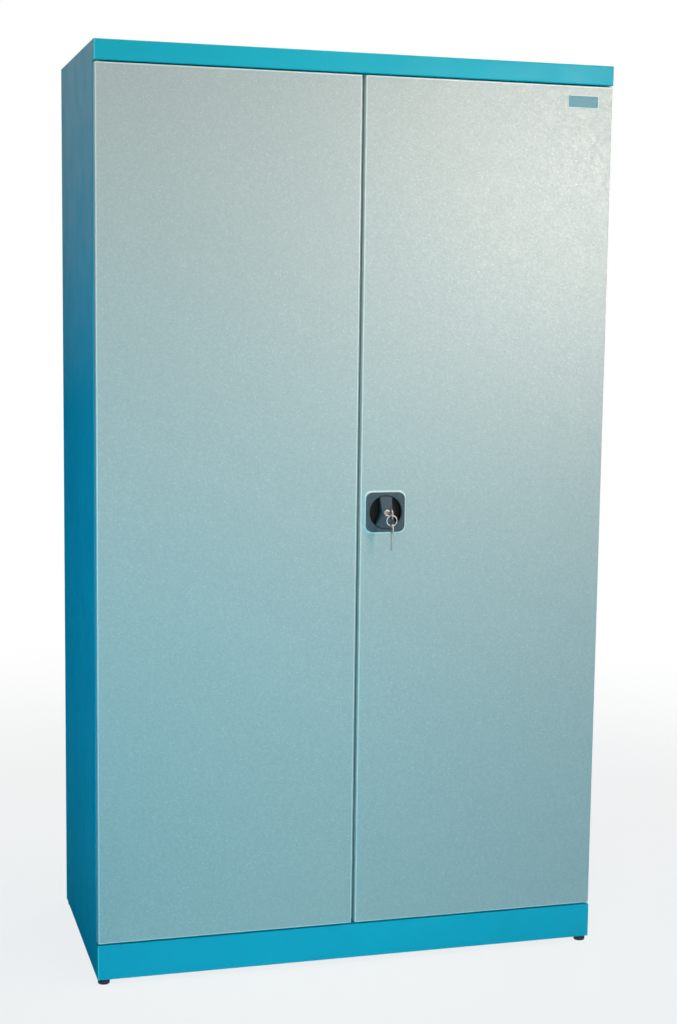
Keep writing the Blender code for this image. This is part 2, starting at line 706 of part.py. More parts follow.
def shelf_rail(side, number, top):
    """Angle under a shelf's edge with two hooks that drop into the uprights' slots."""
    name = f"{side_name(side)}_shelf_rail_{number}"
    middle = RAIL_SHEET / 2
    seat = top - SHELF_FLANGE - SEAT_GAP
    face = side * (RAIL_FACE - middle)
    points = [
        (face, seat - RAIL_SHEET + RAIL_HEIGHT),
        (face, seat - middle),
        (side * (RAIL_FACE - RAIL_LEG), seat - middle),
    ]
    front = UPRIGHT_FRONTS[0] - RAIL_OVERHANG
    rear = UPRIGHT_FRONTS[1] + UPRIGHT_DEPTH + RAIL_OVERHANG
    rail = bent_sheet(name, points, RAIL_SHEET, front, rear, BACKWARD, ZINC)
    slot = top - SHELF_FLANGE / 2
    web_rear = UPRIGHT_FACE + CARCASS_SHEET + HOOK_CLEARANCE
    bottom = slot - SLOT_HEIGHT / 2 + SEAT_GAP
    upper = bottom + HOOK_NECK
    outline = [
        (side * (RAIL_FACE - middle), bottom),
        (side * web_rear, bottom),
        (side * web_rear, bottom - HOOK_DROP),
        (side * (web_rear + HOOK_THICKNESS), bottom - HOOK_DROP),
        (side * (web_rear + HOOK_THICKNESS), upper),
        (side * (RAIL_FACE - middle), upper),
    ]
    for post_front in UPRIGHT_FRONTS:
        start = post_front + (UPRIGHT_DEPTH - HOOK_THICKNESS) / 2
        join(rail, outline_mesh(f"{name}_hook", [outline], start, start + HOOK_THICKNESS, BACKWARD))
    return rail


def foot_places():
    """Name, place and seat height of each levelling foot."""
    across = HALF_WIDTH - FOOT_FROM_SIDE
    rear = BODY_DEPTH - FOOT_FROM_REAR
    return [
        ("front_left", -across, FOOT_FROM_FRONT, CARCASS_SHEET),
        ("front_right", across, FOOT_FROM_FRONT, CARCASS_SHEET),
        ("rear_left", -across, rear, BASE_RAIL_SHEET),
        ("rear_right", across, rear, BASE_RAIL_SHEET),
    ]


def levelling_foot(corner, x, y):
    """Moulded foot on a threaded stud, drawn as its plain core."""
    profile = [(0, STUD_LENGTH), (STUD_RADIUS, STUD_LENGTH), (STUD_RADIUS, -SEAT_GAP),
               (FOOT_TOP_RADIUS, -SEAT_GAP)]
    rim = FOOT_RADIUS - FOOT_ROUNDING
    profile += arc((rim, FOOT_ROUNDING - FOOT_HEIGHT), FOOT_ROUNDING, math.pi / 6, -math.pi / 2, 4)
    profile.append((0, -FOOT_HEIGHT))
    mesh = stand_at(turned_mesh(f"levelling_foot_{corner}", profile), (x, y, 0))
    return smooth(add_part(f"levelling_foot_{corner}", mesh, RUBBER, (x, y, 0)))


def foot_nut(corner, x, y, seat):
    """Hexagonal nut above the sheet that a foot's stud is screwed into."""
    radius = NUT_WIDTH / math.sqrt(3)
    bottom = seat + SEAT_GAP
    mesh = cylinder(f"foot_nut_{corner}", radius, (x, y, bottom), (x, y, bottom + NUT_HEIGHT), 6)
    nut = add_part(f"foot_nut_{corner}", mesh, ZINC)
    cut(nut, cylinder("nut_bore", STUD_RADIUS + STUD_CLEARANCE, (x, y, -CUT_OVERRUN),
                      (x, y, bottom + NUT_HEIGHT + CUT_OVERRUN)))
    return nut


def door_panel(side):
    """Door folded as a tray with turned-in lips, holed for its bushes."""
    name = f"{side_name(side)}_door_panel"
    left, right = sorted((side * DOOR_INNER, side * DOOR_OUTER))
    pivot = (side * PIVOT_X, PIVOT_Y, 0)
    door = tray(name, (left, 0, DOOR_BOTTOM), (right, DOOR_THICKNESS, DOOR_TOP), "+Y",
                DOOR_SHEET, DOOR_LIP, DOOR_EDGE_RADIUS, DOOR_PAINT, pivot)
    for height in (DOOR_BOTTOM, DOOR_TOP):
        cut(door, cylinder("bush_hole", BUSH_RADIUS + SEAT_GAP,
                           (side * PIVOT_X, PIVOT_Y, height - 2 * DOOR_SHEET),
                           (side * PIVOT_X, PIVOT_Y, height + 2 * DOOR_SHEET)))
    if side > 0:
        cut(door, cylinder("dish_hole", DISH_RADIUS + DISH_WALL + SEAT_GAP,
                           (LOCK_FROM_CENTRE, -2 * DOOR_SHEET, LOCK_HEIGHT),
                           (LOCK_FROM_CENTRE, 2 * DOOR_SHEET, LOCK_HEIGHT), 2 * ROUND_STEPS))
    return door


def door_stiffener(side):
    """Hat-section rib down the middle of a door, on its inner face."""
    name = f"{side_name(side)}_door_stiffener"
    middle = STIFFENER_SHEET / 2
    centre = side * (DOOR_INNER + DOOR_OUTER) / 2
    brim = DOOR_SHEET + SEAT_GAP + middle
    crown = brim + STIFFENER_DEPTH
    steps = (STIFFENER_CROWN / 2 + STIFFENER_SLOPE + STIFFENER_BRIM,
             STIFFENER_CROWN / 2 + STIFFENER_SLOPE, STIFFENER_CROWN / 2)
    depths = (brim, brim, crown)
    points = [(centre - step, depth) for step, depth in zip(steps, depths)]
    points += [(centre + step, depth) for step, depth in zip(steps[::-1], depths[::-1])]
    bottom = DOOR_BOTTOM + STIFFENER_END_SPACE
    top = DOOR_TOP - STIFFENER_END_SPACE
    return bent_sheet(name, points, STIFFENER_SHEET, bottom, top, UPWARD, DOOR_PAINT)


def edge_strip():
    """Bar on the left door's closing edge that shuts most of the gap between the doors."""
    rear = DOOR_THICKNESS - STRIP_FROM_BACK
    low = (-DOOR_INNER + SEAT_GAP, rear - STRIP_DEPTH, DOOR_BOTTOM + STRIP_END_SPACE)
    high = (DOOR_INNER - STRIP_TIP_CLEARANCE, rear, DOOR_TOP - STRIP_END_SPACE)
    name = "left_door_edge_strip"
    return add_part(name, boxes(name, [(low, high)]), DOOR_PAINT, (-PIVOT_X, PIVOT_Y, 0))


def hinge_pin(side, end):
    """Headed pin through the lip above or below a door, reaching into the door's bush."""
    name = f"hinge_pin_{end}_{side_name(side)}"
    head = CARCASS_SHEET + SEAT_GAP
    reach = DOOR_END_GAP + PIN_REACH
    profile = [
        (0, head + PIN_HEAD_HEIGHT), (PIN_HEAD_RADIUS, head + PIN_HEAD_HEIGHT),
        (PIN_HEAD_RADIUS, head), (PIN_RADIUS, head), (PIN_RADIUS, -reach), (0, -reach),
    ]
    mesh = turned_mesh(name, profile)
    if end == "bottom":
        mesh.transform(Matrix.Rotation(math.pi, 4, "X"))
    height = BAND_BOTTOM if end == "top" else PLINTH_HEIGHT
    mesh = stand_at(mesh, (side * PIVOT_X, PIVOT_Y, height))
    return smooth(add_part(name, mesh, STEEL))


def hinge_bush(side, end):
    """Flanged bush in a door's end that turns on its pin."""
    name = f"hinge_bush_{end}_{side_name(side)}"
    bore = PIN_RADIUS + PIN_CLEARANCE
    flange_top = DOOR_END_GAP - SEAT_GAP
    profile = [
        (bore, flange_top), (BUSH_FLANGE_RADIUS, flange_top), (BUSH_FLANGE_RADIUS, SEAT_GAP),
        (BUSH_RADIUS, SEAT_GAP), (BUSH_RADIUS, -BUSH_LENGTH), (bore, -BUSH_LENGTH),
    ]
    mesh = turned_mesh(name, profile)
    if end == "bottom":
        mesh.transform(Matrix.Rotation(math.pi, 4, "X"))
    height = DOOR_TOP if end == "top" else DOOR_BOTTOM
    place = (side * PIVOT_X, PIVOT_Y, height)
    return smooth(add_part(name, stand_at(mesh, place), NYLON, place))


def door_bumper(side):
    """Rubber button on the stop above a door."""
    name = f"door_bumper_{side_name(side)}"
    place = (side * BUMPER_FROM_CENTRE, BAND_BOTTOM - STOP_HEIGHT / 2)
    mesh = cylinder(name, BUMPER_RADIUS, (place[0], DOOR_THICKNESS + SEAT_GAP, place[1]),
                    (place[0], FRAME_Y - SEAT_GAP, place[1]))
    return smooth(add_part(name, mesh, RUBBER))


def rounded_square(size, radius, steps):
    """Outline of a square with round corners, about the origin."""
    outline = []
    reach = size / 2 - radius
    for i, (x, z) in enumerate(((1, 1), (-1, 1), (-1, -1), (1, -1))):
        start = i * math.pi / 2
        outline += arc((x * reach, z * reach), radius, start, start + math.pi / 2, steps)
    return outline


def at_lock(outline):
    """Move an outline drawn about the lock's axis to its place on the door."""
    return [(LOCK_FROM_CENTRE + x, LOCK_HEIGHT + z) for x, z in outline]


def escutcheon():
    """Square moulded plate with a round bowl that passes through the door."""
    name = "handle_escutcheon"
    square = at_lock(rounded_square(ESCUTCHEON_SIZE, ESCUTCHEON_CORNER, 6))
    mesh = outline_mesh(name, [square], -ESCUTCHEON_PROUD, -SEAT_GAP, BACKWARD)
    axis = (LOCK_FROM_CENTRE, 0, LOCK_HEIGHT)
    plate = add_part(name, mesh, BLACK_PLASTIC, axis)
    bowl = DISH_RADIUS + DISH_WALL
    join(plate, cylinder("bowl", bowl, (axis[0], -ESCUTCHEON_PROUD / 2, axis[2]),
                         (axis[0], BOWL_REAR, axis[2]), 2 * ROUND_STEPS))
    mouth = DISH_RADIUS + DISH_MOUTH_CHAMFER
    profile = [
        (0, ESCUTCHEON_PROUD + CUT_OVERRUN), (mouth, ESCUTCHEON_PROUD + CUT_OVERRUN),
        (mouth, ESCUTCHEON_PROUD), (DISH_RADIUS, ESCUTCHEON_PROUD - DISH_MOUTH_CHAMFER),
        (DISH_RADIUS, -DISH_FLOOR_DEPTH), (0, -DISH_FLOOR_DEPTH),
    ]
    cut(plate, face_front(turned_mesh("dish", profile, 2 * ROUND_STEPS), axis))
    cut(plate, cylinder("spindle_hole", SPINDLE_RADIUS + SPINDLE_CLEARANCE,
                        (axis[0], 0, axis[2]), (axis[0], BOWL_REAR + CUT_OVERRUN, axis[2])))
    return plate


def turn_handle():
    """Grip bar across the dish, narrow at the waist and flared below, on a square spindle."""
    name = "turn_handle"
    axis = (LOCK_FROM_CENTRE, 0, LOCK_HEIGHT)
    end = DISH_RADIUS - HANDLE_END_CLEARANCE
    top = math.asin(HANDLE_TOP_HALF_WIDTH / end)
    bottom = math.asin(HANDLE_BOTTOM_HALF_WIDTH / end)
    quarter = math.pi / 2
    outline = [(HANDLE_WAIST, 0)]
    outline += arc((0, 0), end, quarter - top, quarter + top, 6)
    outline += [(-HANDLE_WAIST, 0)]
    outline += arc((0, 0), end, 3 * quarter - bottom, 3 * quarter + bottom, 8)
    rear = DISH_FLOOR_DEPTH - HANDLE_FLOOR_CLEARANCE
    mesh = outline_mesh(name, [at_lock(outline)], -BOSS_PROUD, rear, BACKWARD)
    handle = add_part(name, mesh, BLACK_PLASTIC, axis)
    reach = end + CUT_OVERRUN
    ridge = [
        (rear + CUT_OVERRUN, -reach), (rear + CUT_OVERRUN, reach), (-HANDLE_END_PROUD, reach),
        (-HANDLE_END_PROUD, end), (-HANDLE_CREST_PROUD, HANDLE_CREST_HALF),
        (-HANDLE_CREST_PROUD, -HANDLE_CREST_HALF), (-HANDLE_END_PROUD, -end),
        (-HANDLE_END_PROUD, -reach),
    ]
    ridge = [(y, LOCK_HEIGHT + z) for y, z in ridge]
    half = ESCUTCHEON_SIZE / 2
    wedge = outline_mesh("ridge", [ridge], LOCK_FROM_CENTRE - half, LOCK_FROM_CENTRE + half, ACROSS)
    combine(handle, add_cutter("handle_ridge", wedge), "INTERSECT")
    profile = [
        (0, BOSS_PROUD), (BOSS_RADIUS, BOSS_PROUD), (BOSS_RADIUS, -rear + CARCASS_SHEET),
        (SPINDLE_RADIUS, -rear + CARCASS_SHEET), (SPINDLE_RADIUS, -CASE_POCKET),
        (0, -CASE_POCKET),
    ]
    join(handle, face_front(turned_mesh("hub", profile), axis))
    square = SPINDLE_SQUARE / 2
    join(handle, boxes("spindle_square", [(
        (axis[0] - square, CASE_POCKET - SPINDLE_CLEARANCE, axis[2] - square),
        (axis[0] + square, SPINDLE_END, axis[2] + square))]))
    cut(handle, cylinder("lock_bore", LOCK_BARREL_RADIUS + LOCK_BARREL_CLEARANCE,
                         (axis[0], -BOSS_PROUD - CUT_OVERRUN, axis[2]),
                         (axis[0], LOCK_BARREL_END + LOCK_BARREL_CLEARANCE, axis[2])))
    return handle


def lock_cylinder():
    """Plated sleeve of the key lock, held in the handle's boss."""
    bore = PLUG_RADIUS + LOCK_BARREL_CLEARANCE
    profile = [
        (bore, LOCK_BARREL_PROUD), (LOCK_BARREL_RADIUS, LOCK_BARREL_PROUD),
        (LOCK_BARREL_RADIUS, -LOCK_BARREL_END), (bore, -LOCK_BARREL_END),
    ]
    axis = (LOCK_FROM_CENTRE, 0, LOCK_HEIGHT)
    mesh = face_front(turned_mesh("lock_cylinder", profile), axis)
    return smooth(add_part("lock_cylinder", mesh, CHROME, axis))


def lock_plug():
    """Turning core of the lock, with its keyway."""
    axis = (LOCK_FROM_CENTRE, 0, LOCK_HEIGHT)
    front = -LOCK_BARREL_PROUD + PLUG_SINK
    mesh = cylinder("lock_plug", PLUG_RADIUS, (axis[0], front, axis[2]),
                    (axis[0], LOCK_BARREL_END, axis[2]))
    plug = smooth(add_part("lock_plug", mesh, CHROME, axis))
    across = KEY_THICKNESS / 2 + KEY_CLEARANCE
    up = KEY_BLADE / 2 + KEY_CLEARANCE
    cut(plug, boxes("keyway", [(
        (axis[0] - across, front - CUT_OVERRUN, axis[2] - up),
        (axis[0] + across, front + KEYWAY_DEPTH, axis[2] + up))]))
    return plug


def key_outline():
    """Key seen flat, from its bow's middle at the origin to its tip along the first axis."""
    half = KEY_BLADE / 2
    join_angle = math.asin(half / KEY_BOW_RADIUS)
    bow = arc((0, 0), KEY_BOW_RADIUS, join_angle, 2 * math.pi - join_angle, 20)
    lower = []
    for share in KEY_NOTCH_SHARES:
        lower += [
            (KEY_LENGTH * (share - KEY_NOTCH_HALF_SHARE), -half),
            (KEY_LENGTH * share, -half + KEY_NOTCH),
            (KEY_LENGTH * (share + KEY_NOTCH_HALF_SHARE), -half),
        ]
    tip = [(KEY_LENGTH - KEY_TIP, -half), (KEY_LENGTH, -half + KEY_TIP),
           (KEY_LENGTH, half - KEY_TIP), (KEY_LENGTH - KEY_TIP, half)]
    return bow + lower + tip


def key_hole_outline():
    """Hole for the ring near the outer edge of the bow."""
    return arc((-KEY_HOLE_OFFSET, 0), KEY_HOLE_RADIUS, 0, 2 * math.pi * 15 / 16, 15)


def cabinet_key():
    """Key in the lock, its bow upright."""
    def placed(outline):
        return [(u - KEY_BOW_PROUD, LOCK_HEIGHT + v) for u, v in outline]
    half = KEY_THICKNESS / 2
    mesh = outline_mesh("cabinet_key", [placed(key_outline()), placed(key_hole_outline())],
                        LOCK_FROM_CENTRE - half, LOCK_FROM_CENTRE + half, ACROSS)
    return add_part("cabinet_key", mesh, STEEL, (LOCK_FROM_CENTRE, 0, LOCK_HEIGHT))


def key_ring():
    """Ring hanging from the key's bow."""
    bpy.ops.mesh.primitive_torus_add(
        major_radius=RING_RADIUS, minor_radius=RING_WIRE, major_segments=36, minor_segments=8)
    torus = bpy.context.object
    mesh = torus.data
    bpy.data.objects.remove(torus)
    centre = (LOCK_FROM_CENTRE, -KEY_HOLE_PROUD, RING_TOP - RING_RADIUS)
    mesh = face_front(mesh, centre)
    return smooth(add_part("key_ring", mesh, STEEL, (centre[0], centre[1], RING_TOP)))


def spare_key():
    """Second key, hanging tip down from the ring."""
    def placed(outline):
        bow = SPARE_HOLE_Z - KEY_HOLE_OFFSET
        return [(-KEY_HOLE_PROUD + v, bow - u) for u, v in outline]
    half = KEY_THICKNESS / 2
    mesh = outline_mesh("spare_key", [placed(key_outline()), placed(key_hole_outline())],
                        LOCK_FROM_CENTRE - half, LOCK_FROM_CENTRE + half, ACROSS)
    pivot = (LOCK_FROM_CENTRE, -KEY_HOLE_PROUD, RING_BOTTOM)
    return add_part("spare_key", mesh, STEEL, pivot)


def involute_angle(radius):
    """How far the involute has turned from its start at a given radius."""
    base = PITCH_RADIUS * math.cos(PRESSURE_ANGLE)
    pressure = math.acos(min(1.0, base / radius))
    return math.tan(pressure) - pressure


def pinion_outline():
    """Involute spur gear with one tooth along the first axis."""
    base = PITCH_RADIUS * math.cos(PRESSURE_ANGLE)
    root = PITCH_RADIUS - RACK_ADDENDUM - TOOTH_ROOT_CLEARANCE
    tip = PITCH_RADIUS + PINION_ADDENDUM
    half_tooth = (TOOTH_PITCH / 2 - TOOTH_BACKLASH) / (2 * PITCH_RADIUS)
    start = half_tooth + involute_angle(PITCH_RADIUS)
    flank = [(root, start)]
    for i in range(FLANK_STEPS + 1):
        radius = base + (tip - base) * i / FLANK_STEPS
        flank.append((radius, start - involute_angle(radius)))
    outline = []
    for tooth in range(PINION_TEETH):
        middle = 2 * math.pi * tooth / PINION_TEETH
        for radius, turn in flank:
            outline.append((radius * math.cos(middle - turn), radius * math.sin(middle - turn)))
        for radius, turn in flank[::-1]:
            outline.append((radius * math.cos(middle + turn), radius * math.sin(middle + turn)))
    return outline


def drive_pinion():
    """Pinion on the handle's square spindle, between the two racks."""
    axis = (LOCK_FROM_CENTRE, 0, LOCK_HEIGHT)
    half = SPINDLE_SQUARE / 2 + SEAT_GAP
    bore = [(-half, -half), (-half, half), (half, half), (half, -half)]
    mesh = outline_mesh("drive_pinion", [at_lock(pinion_outline()), at_lock(bore)],
                        ROD_SETBACK, ROD_SETBACK + ROD_THICKNESS, BACKWARD)
    return add_part("drive_pinion", mesh, DIE_CAST, axis)


def rod_outline(length):
    """Rod with rack teeth towards the pinion, drawn upwards from its inner end.

    The first axis is the distance from the lock's axis, and height zero is level with it.
    """
    root = ROD_INNER
    tip = PITCH_RADIUS - RACK_ADDENDUM
    slope = math.tan(PRESSURE_ANGLE)
    half_at_pitch = (TOOTH_PITCH / 2 - TOOTH_BACKLASH) / 2
    half_at_tip = half_at_pitch - RACK_ADDENDUM * slope
    half_at_root = half_at_pitch + (root - PITCH_RADIUS) * slope
    first = RACK_TEETH_BEYOND - RACK_TEETH
    centres = [(first + i + 0.5) * TOOTH_PITCH for i in range(RACK_TEETH)]
    bottom = centres[0] - half_at_root - RACK_END_SPACE
    outline = [(root + ROD_WIDTH, bottom), (root + ROD_WIDTH, length), (root, length)]
    for middle in centres[::-1]:
        outline += [(root, middle + half_at_root), (tip, middle + half_at_tip),
                    (tip, middle - half_at_tip), (root, middle - half_at_root)]
    outline.append((root, bottom))
    return outline


def locking_rod(name, side, direction, length):
    """Flat rod with a rack, on one side of the pinion, running up or down the door."""
    outline = [(side * x, direction * z) for x, z in rod_outline(length)]
    mesh = outline_mesh(name, [at_lock(outline)], ROD_SETBACK, ROD_SETBACK + ROD_THICKNESS,
                        BACKWARD)
    return add_part(name, mesh, ZINC)


def lock_case():
    """Die-cast case behind the dish, with the pinion's pocket and the two racks' channels."""
    axis = (LOCK_FROM_CENTRE, 0, LOCK_HEIGHT)
    low = (axis[0] - CASE_HALF_WIDTH, CASE_FRONT, axis[2] - CASE_HALF_HEIGHT)
    high = (axis[0] + CASE_HALF_WIDTH, CASE_REAR, axis[2] + CASE_HALF_HEIGHT)
    case = add_part("lock_case", boxes("lock_case", [(low, high)]), DIE_CAST)
    edges = case.modifiers.new("edges", "BEVEL")
    edges.width = CASE_EDGE
    edges.segments = 2
    tip = PITCH_RADIUS - RACK_ADDENDUM - TOOTH_ROOT_CLEARANCE
    outer = ROD_INNER + ROD_WIDTH + ROD_CHANNEL_GAP
    reach = CASE_HALF_HEIGHT + CUT_OVERRUN
    channels = []
    for side in (-1, 1):
        left, right = sorted((axis[0] + side * tip, axis[0] + side * outer))
        channels.append(((left, CASE_POCKET, axis[2] - reach),
                         (right, CASE_REAR + CUT_OVERRUN, axis[2] + reach)))
    cut(case, boxes("rack_channels", channels))
    cut(case, cylinder("pinion_pocket", PITCH_RADIUS + PINION_ADDENDUM + TOOTH_ROOT_CLEARANCE,
                       (axis[0], CASE_POCKET, axis[2]),
                       (axis[0], CASE_REAR + CUT_OVERRUN, axis[2]), 2 * ROUND_STEPS))
    cut(case, cylinder("spindle_bore", SPINDLE_RADIUS + SPINDLE_CLEARANCE,
                       (axis[0], CASE_FRONT - CUT_OVERRUN, axis[2]),
                       (axis[0], CASE_REAR, axis[2])))
    return case


def rod_guide(name, rod_x, height):
    """Bracket on the right door's closing lip, with an eye that the rod slides through."""
    half_height = GUIDE_HEIGHT / 2
    front = DOOR_THICKNESS + SEAT_GAP
    eye = ROD_WIDTH / 2 + ROD_CHANNEL_GAP
    eye_rear = ROD_SETBACK + ROD_THICKNESS + ROD_CHANNEL_GAP
    plate = ((DOOR_INNER + GUIDE_EDGE_SPACE, front, height - half_height),
             (rod_x, front + GUIDE_SHEET, height + half_height))
    guide = add_part(name, boxes(name, [plate]), ZINC)
    join(guide, boxes("eye", [(
        (rod_x - eye - GUIDE_WALL, front, height - half_height),
        (rod_x + eye + GUIDE_WALL, eye_rear + GUIDE_WALL, height + half_height))]))
    cut(guide, boxes("eye_slot", [(
        (rod_x - eye, ROD_SETBACK - ROD_CHANNEL_GAP, height - GUIDE_HEIGHT),
        (rod_x + eye, eye_rear, height + GUIDE_HEIGHT))]))
    return guide


def build_carcass():
    """Everything that stands still."""
    top_cover()
    plinth_rail()
    floor_panel()
    back_panel()
    for side in (-1, 1):
        side_panel(side)
        base_rail(side)
        for position, front in zip(("front", "rear"), UPRIGHT_FRONTS):
            upright(side, position, front)
        for end in ("top", "bottom"):
            hinge_pin(side, end)
        door_bumper(side)
    for number, top in enumerate(shelf_tops(), start=1):
        shelf(number, top)
        for side in (-1, 1):
            shelf_rail(side, number, top)
    for corner, x, y, seat in foot_places():
        levelling_foot(corner, x, y)
        foot_nut(corner, x, y, seat)


def build_doors():
    """Both doors with what is fixed to them."""
    for side in (-1, 1):
        door_panel(side)
        door_stiffener(side)
        for end in ("top", "bottom"):
            hinge_bush(side, end)
    edge_strip()


def build_lock():
    """Handle, key lock, keys and the rack lock with its rods."""
    escutcheon()
    turn_handle()
    lock_cylinder()
    lock_plug()
    cabinet_key()
    key_ring()
    spare_key()
    lock_case()
    drive_pinion()
    rod_top = BAND_BOTTOM - STOP_HEIGHT - ROD_TOP_SPACE
    rod_bottom = SILL_TOP + ROD_SILL_SPACE
    locking_rod("upper_locking_rod", -1, 1, rod_top - LOCK_HEIGHT)
    locking_rod("lower_locking_rod", 1, -1, LOCK_HEIGHT - rod_bottom)
    rod_guide("upper_rod_guide", UPPER_ROD_X, DOOR_TOP - GUIDE_FROM_DOOR_END)
    rod_guide("lower_rod_guide", LOWER_ROD_X, DOOR_BOTTOM + GUIDE_FROM_DOOR_END)


build_carcass()
build_doors()
build_lock()
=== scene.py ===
"""Finishes, fittings and studio for a two-door sheet-steel tool cabinet.

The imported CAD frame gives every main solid. This script gives each solid its
real surface, rounds the edges that the eye meets, swaps the small turned and
wound parts for finer ones, adds the fasteners and thin trim, and sets up the
floor, the lamps and the camera. Lengths are in metres unless a name says mm.
"""

import json
import logging
import math
from dataclasses import dataclass, field
from enum import Enum
from typing import Any, Iterable, Sequence

import bmesh
import bpy
from mathutils import Matrix, Vector

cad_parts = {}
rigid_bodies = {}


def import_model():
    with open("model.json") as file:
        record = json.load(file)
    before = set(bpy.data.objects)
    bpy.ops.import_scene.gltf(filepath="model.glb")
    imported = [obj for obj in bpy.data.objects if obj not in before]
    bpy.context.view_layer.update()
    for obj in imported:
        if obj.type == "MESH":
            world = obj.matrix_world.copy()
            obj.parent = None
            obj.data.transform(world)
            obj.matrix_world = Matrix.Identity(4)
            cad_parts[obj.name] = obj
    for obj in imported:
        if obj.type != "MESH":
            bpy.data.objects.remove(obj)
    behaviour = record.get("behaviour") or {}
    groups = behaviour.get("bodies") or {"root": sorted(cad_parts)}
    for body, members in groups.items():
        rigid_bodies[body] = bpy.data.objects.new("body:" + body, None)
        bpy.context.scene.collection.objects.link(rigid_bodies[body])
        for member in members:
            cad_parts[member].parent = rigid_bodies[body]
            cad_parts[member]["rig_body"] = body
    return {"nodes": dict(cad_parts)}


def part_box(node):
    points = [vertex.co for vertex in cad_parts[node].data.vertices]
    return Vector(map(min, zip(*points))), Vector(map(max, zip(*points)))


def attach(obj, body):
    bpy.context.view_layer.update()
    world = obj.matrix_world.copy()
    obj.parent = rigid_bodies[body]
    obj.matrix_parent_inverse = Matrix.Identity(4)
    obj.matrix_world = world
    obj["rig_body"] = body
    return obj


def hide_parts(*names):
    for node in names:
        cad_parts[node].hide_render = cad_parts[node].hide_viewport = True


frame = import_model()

LOG = logging.getLogger("tool_cabinet")
MM = 0.001
MERGE_DISTANCE = 1e-6
CORNER_STEPS = 8  # faces on each round corner of a plate
FRONT_FACE = -0.219  # the doors' outer face along Y
BACKWARDS = (0.0, 1.0, 0.0)
LEFTWARDS = (-1.0, 0.0, 0.0)
RIGHTWARDS = (1.0, 0.0, 0.0)
WHITE = (1.0, 1.0, 1.0, 1.0)

Point = tuple[float, float, float]
Span = tuple[float, float]
Colour = tuple[float, float, float, float]
Seat = tuple[Point, Point]
Mesh = bpy.types.Mesh
Object = bpy.types.Object
Material = bpy.types.Material
Tree = bpy.types.NodeTree
Socket = bpy.types.NodeSocket
Inputs = dict[Any, Any]


class Slot(str, Enum):
    """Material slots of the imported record."""

    BODY_PAINT = "body_paint"
    DOOR_PAINT = "door_paint"
    ZINC = "zinc"
    STEEL = "steel"
    CHROME = "chrome"
    BLACK_PLASTIC = "black_plastic"
    NYLON = "nylon"
    RUBBER = "rubber"
    FOOT_RUBBER = "foot_rubber"
    DIE_CAST = "die_cast"


class Body(str, Enum):
    """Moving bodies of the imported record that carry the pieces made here."""

    CARCASS = "carcass"
    LEFT_DOOR = "left_door"
    RIGHT_DOOR = "right_door"
    RING = "ring"
    FOOT_FRONT_LEFT = "foot_front_left"
    FOOT_FRONT_RIGHT = "foot_front_right"
    FOOT_REAR_LEFT = "foot_rear_left"
    FOOT_REAR_RIGHT = "foot_rear_right"


FEET = [body for body in Body if body.value.startswith("foot")]


class Side(str, Enum):
    """Left and right as seen from the front."""

    LEFT = "left"
    RIGHT = "right"

    @property
    def door(self) -> Body:
        """The body of the door on this side."""
        return Body.LEFT_DOOR if self is Side.LEFT else Body.RIGHT_DOOR


# Helpers for nodes and objects


def linear(code: str) -> Colour:
    """Turns an sRGB hex colour to linear light.

    Args:
        code: six hex digits after a hash sign.

    Returns:
        Linear red, green and blue, and a full alpha.
    """
    values = [int(code[i : i + 2], 16) / 255 for i in (1, 3, 5)]
    red, green, blue = (v / 12.92 if v <= 0.04045 else ((v + 0.055) / 1.055) ** 2.4 for v in values)
    return red, green, blue, 1.0


def add_node(
    tree: Tree, kind: str, inputs: Inputs | None = None, out: str | int = 0, **settings: Any
) -> Socket | None:
    """Adds one node with its settings, values and links.

    Args:
        tree: the material, world or geometry tree that gets the node.
        kind: the node's type name.
        inputs: input name or index to a value, or to the socket linked there.
        out: name or index of the wanted output.
        settings: properties of the node.

    Returns:
        The wanted output, or None for a node that has no outputs.
    """
    node = tree.nodes.new(kind)
    for name, value in settings.items():
        setattr(node, name, value)
    for key, value in (inputs or {}).items():
        if isinstance(value, Socket):
            tree.links.new(value, node.inputs[key])
        else:
            node.inputs[key].default_value = value
    return node.outputs[out] if node.outputs else None


def empty_material(name: str) -> Material:
    """A new material without nodes.

    Args:
        name: the finish's plain name.

    Returns:
        The material, ready for its nodes.
    """
    material = bpy.data.materials.new(name)
    material.use_nodes = True
    material.node_tree.nodes.clear()
    return material


def put_in_scene(name: str, data: bpy.types.ID) -> Object:
    """A new object in the scene.

    Args:
        name: its name.
        data: its mesh, lamp or camera.

    Returns:
        The object.
    """
    item = bpy.data.objects.new(name, data)
    bpy.context.scene.collection.objects.link(item)
    return item


# Patterns, all on Object coordinates


@dataclass(frozen=True)
class Grain:
    """Soft random grain of a real size. It is drawn out along an axis stretched below 1."""

    size_mm: float
    detail: float = 2.0
    roughness: float = 0.5
    stretch: Point = (1.0, 1.0, 1.0)

    def add(self, tree: Tree) -> Socket:
        """Adds the grain.

        Args:
            tree: the finish's tree.

        Returns:
            The grain, from 0 to 1.
        """
        place = add_node(tree, "ShaderNodeTexCoord", out="Object")
        spot = add_node(tree, "ShaderNodeMapping", {"Vector": place, "Scale": self.stretch})
        sizes = {"Scale": 1.0 / (self.size_mm * MM), "Detail": self.detail, "Roughness": self.roughness}
        return add_node(tree, "ShaderNodeTexNoise", {"Vector": spot, **sizes})


@dataclass(frozen=True)
class Ramp:
    """A grain whose middle range runs between two numbers, which it doesn't leave."""

    grain: Grain
    low: float = 0.0
    high: float = 1.0
    middle: Span = (0.3, 0.7)

    def add(self, tree: Tree) -> Socket:
        """Adds the grain.

        Args:
            tree: the finish's tree.

        Returns:
            The number that the grain stands for.
        """
        inputs = {"Value": self.grain.add(tree), "From Min": self.middle[0], "From Max": self.middle[1]}
        inputs |= {"To Min": self.low, "To Max": self.high}
        return add_node(tree, "ShaderNodeMapRange", inputs)


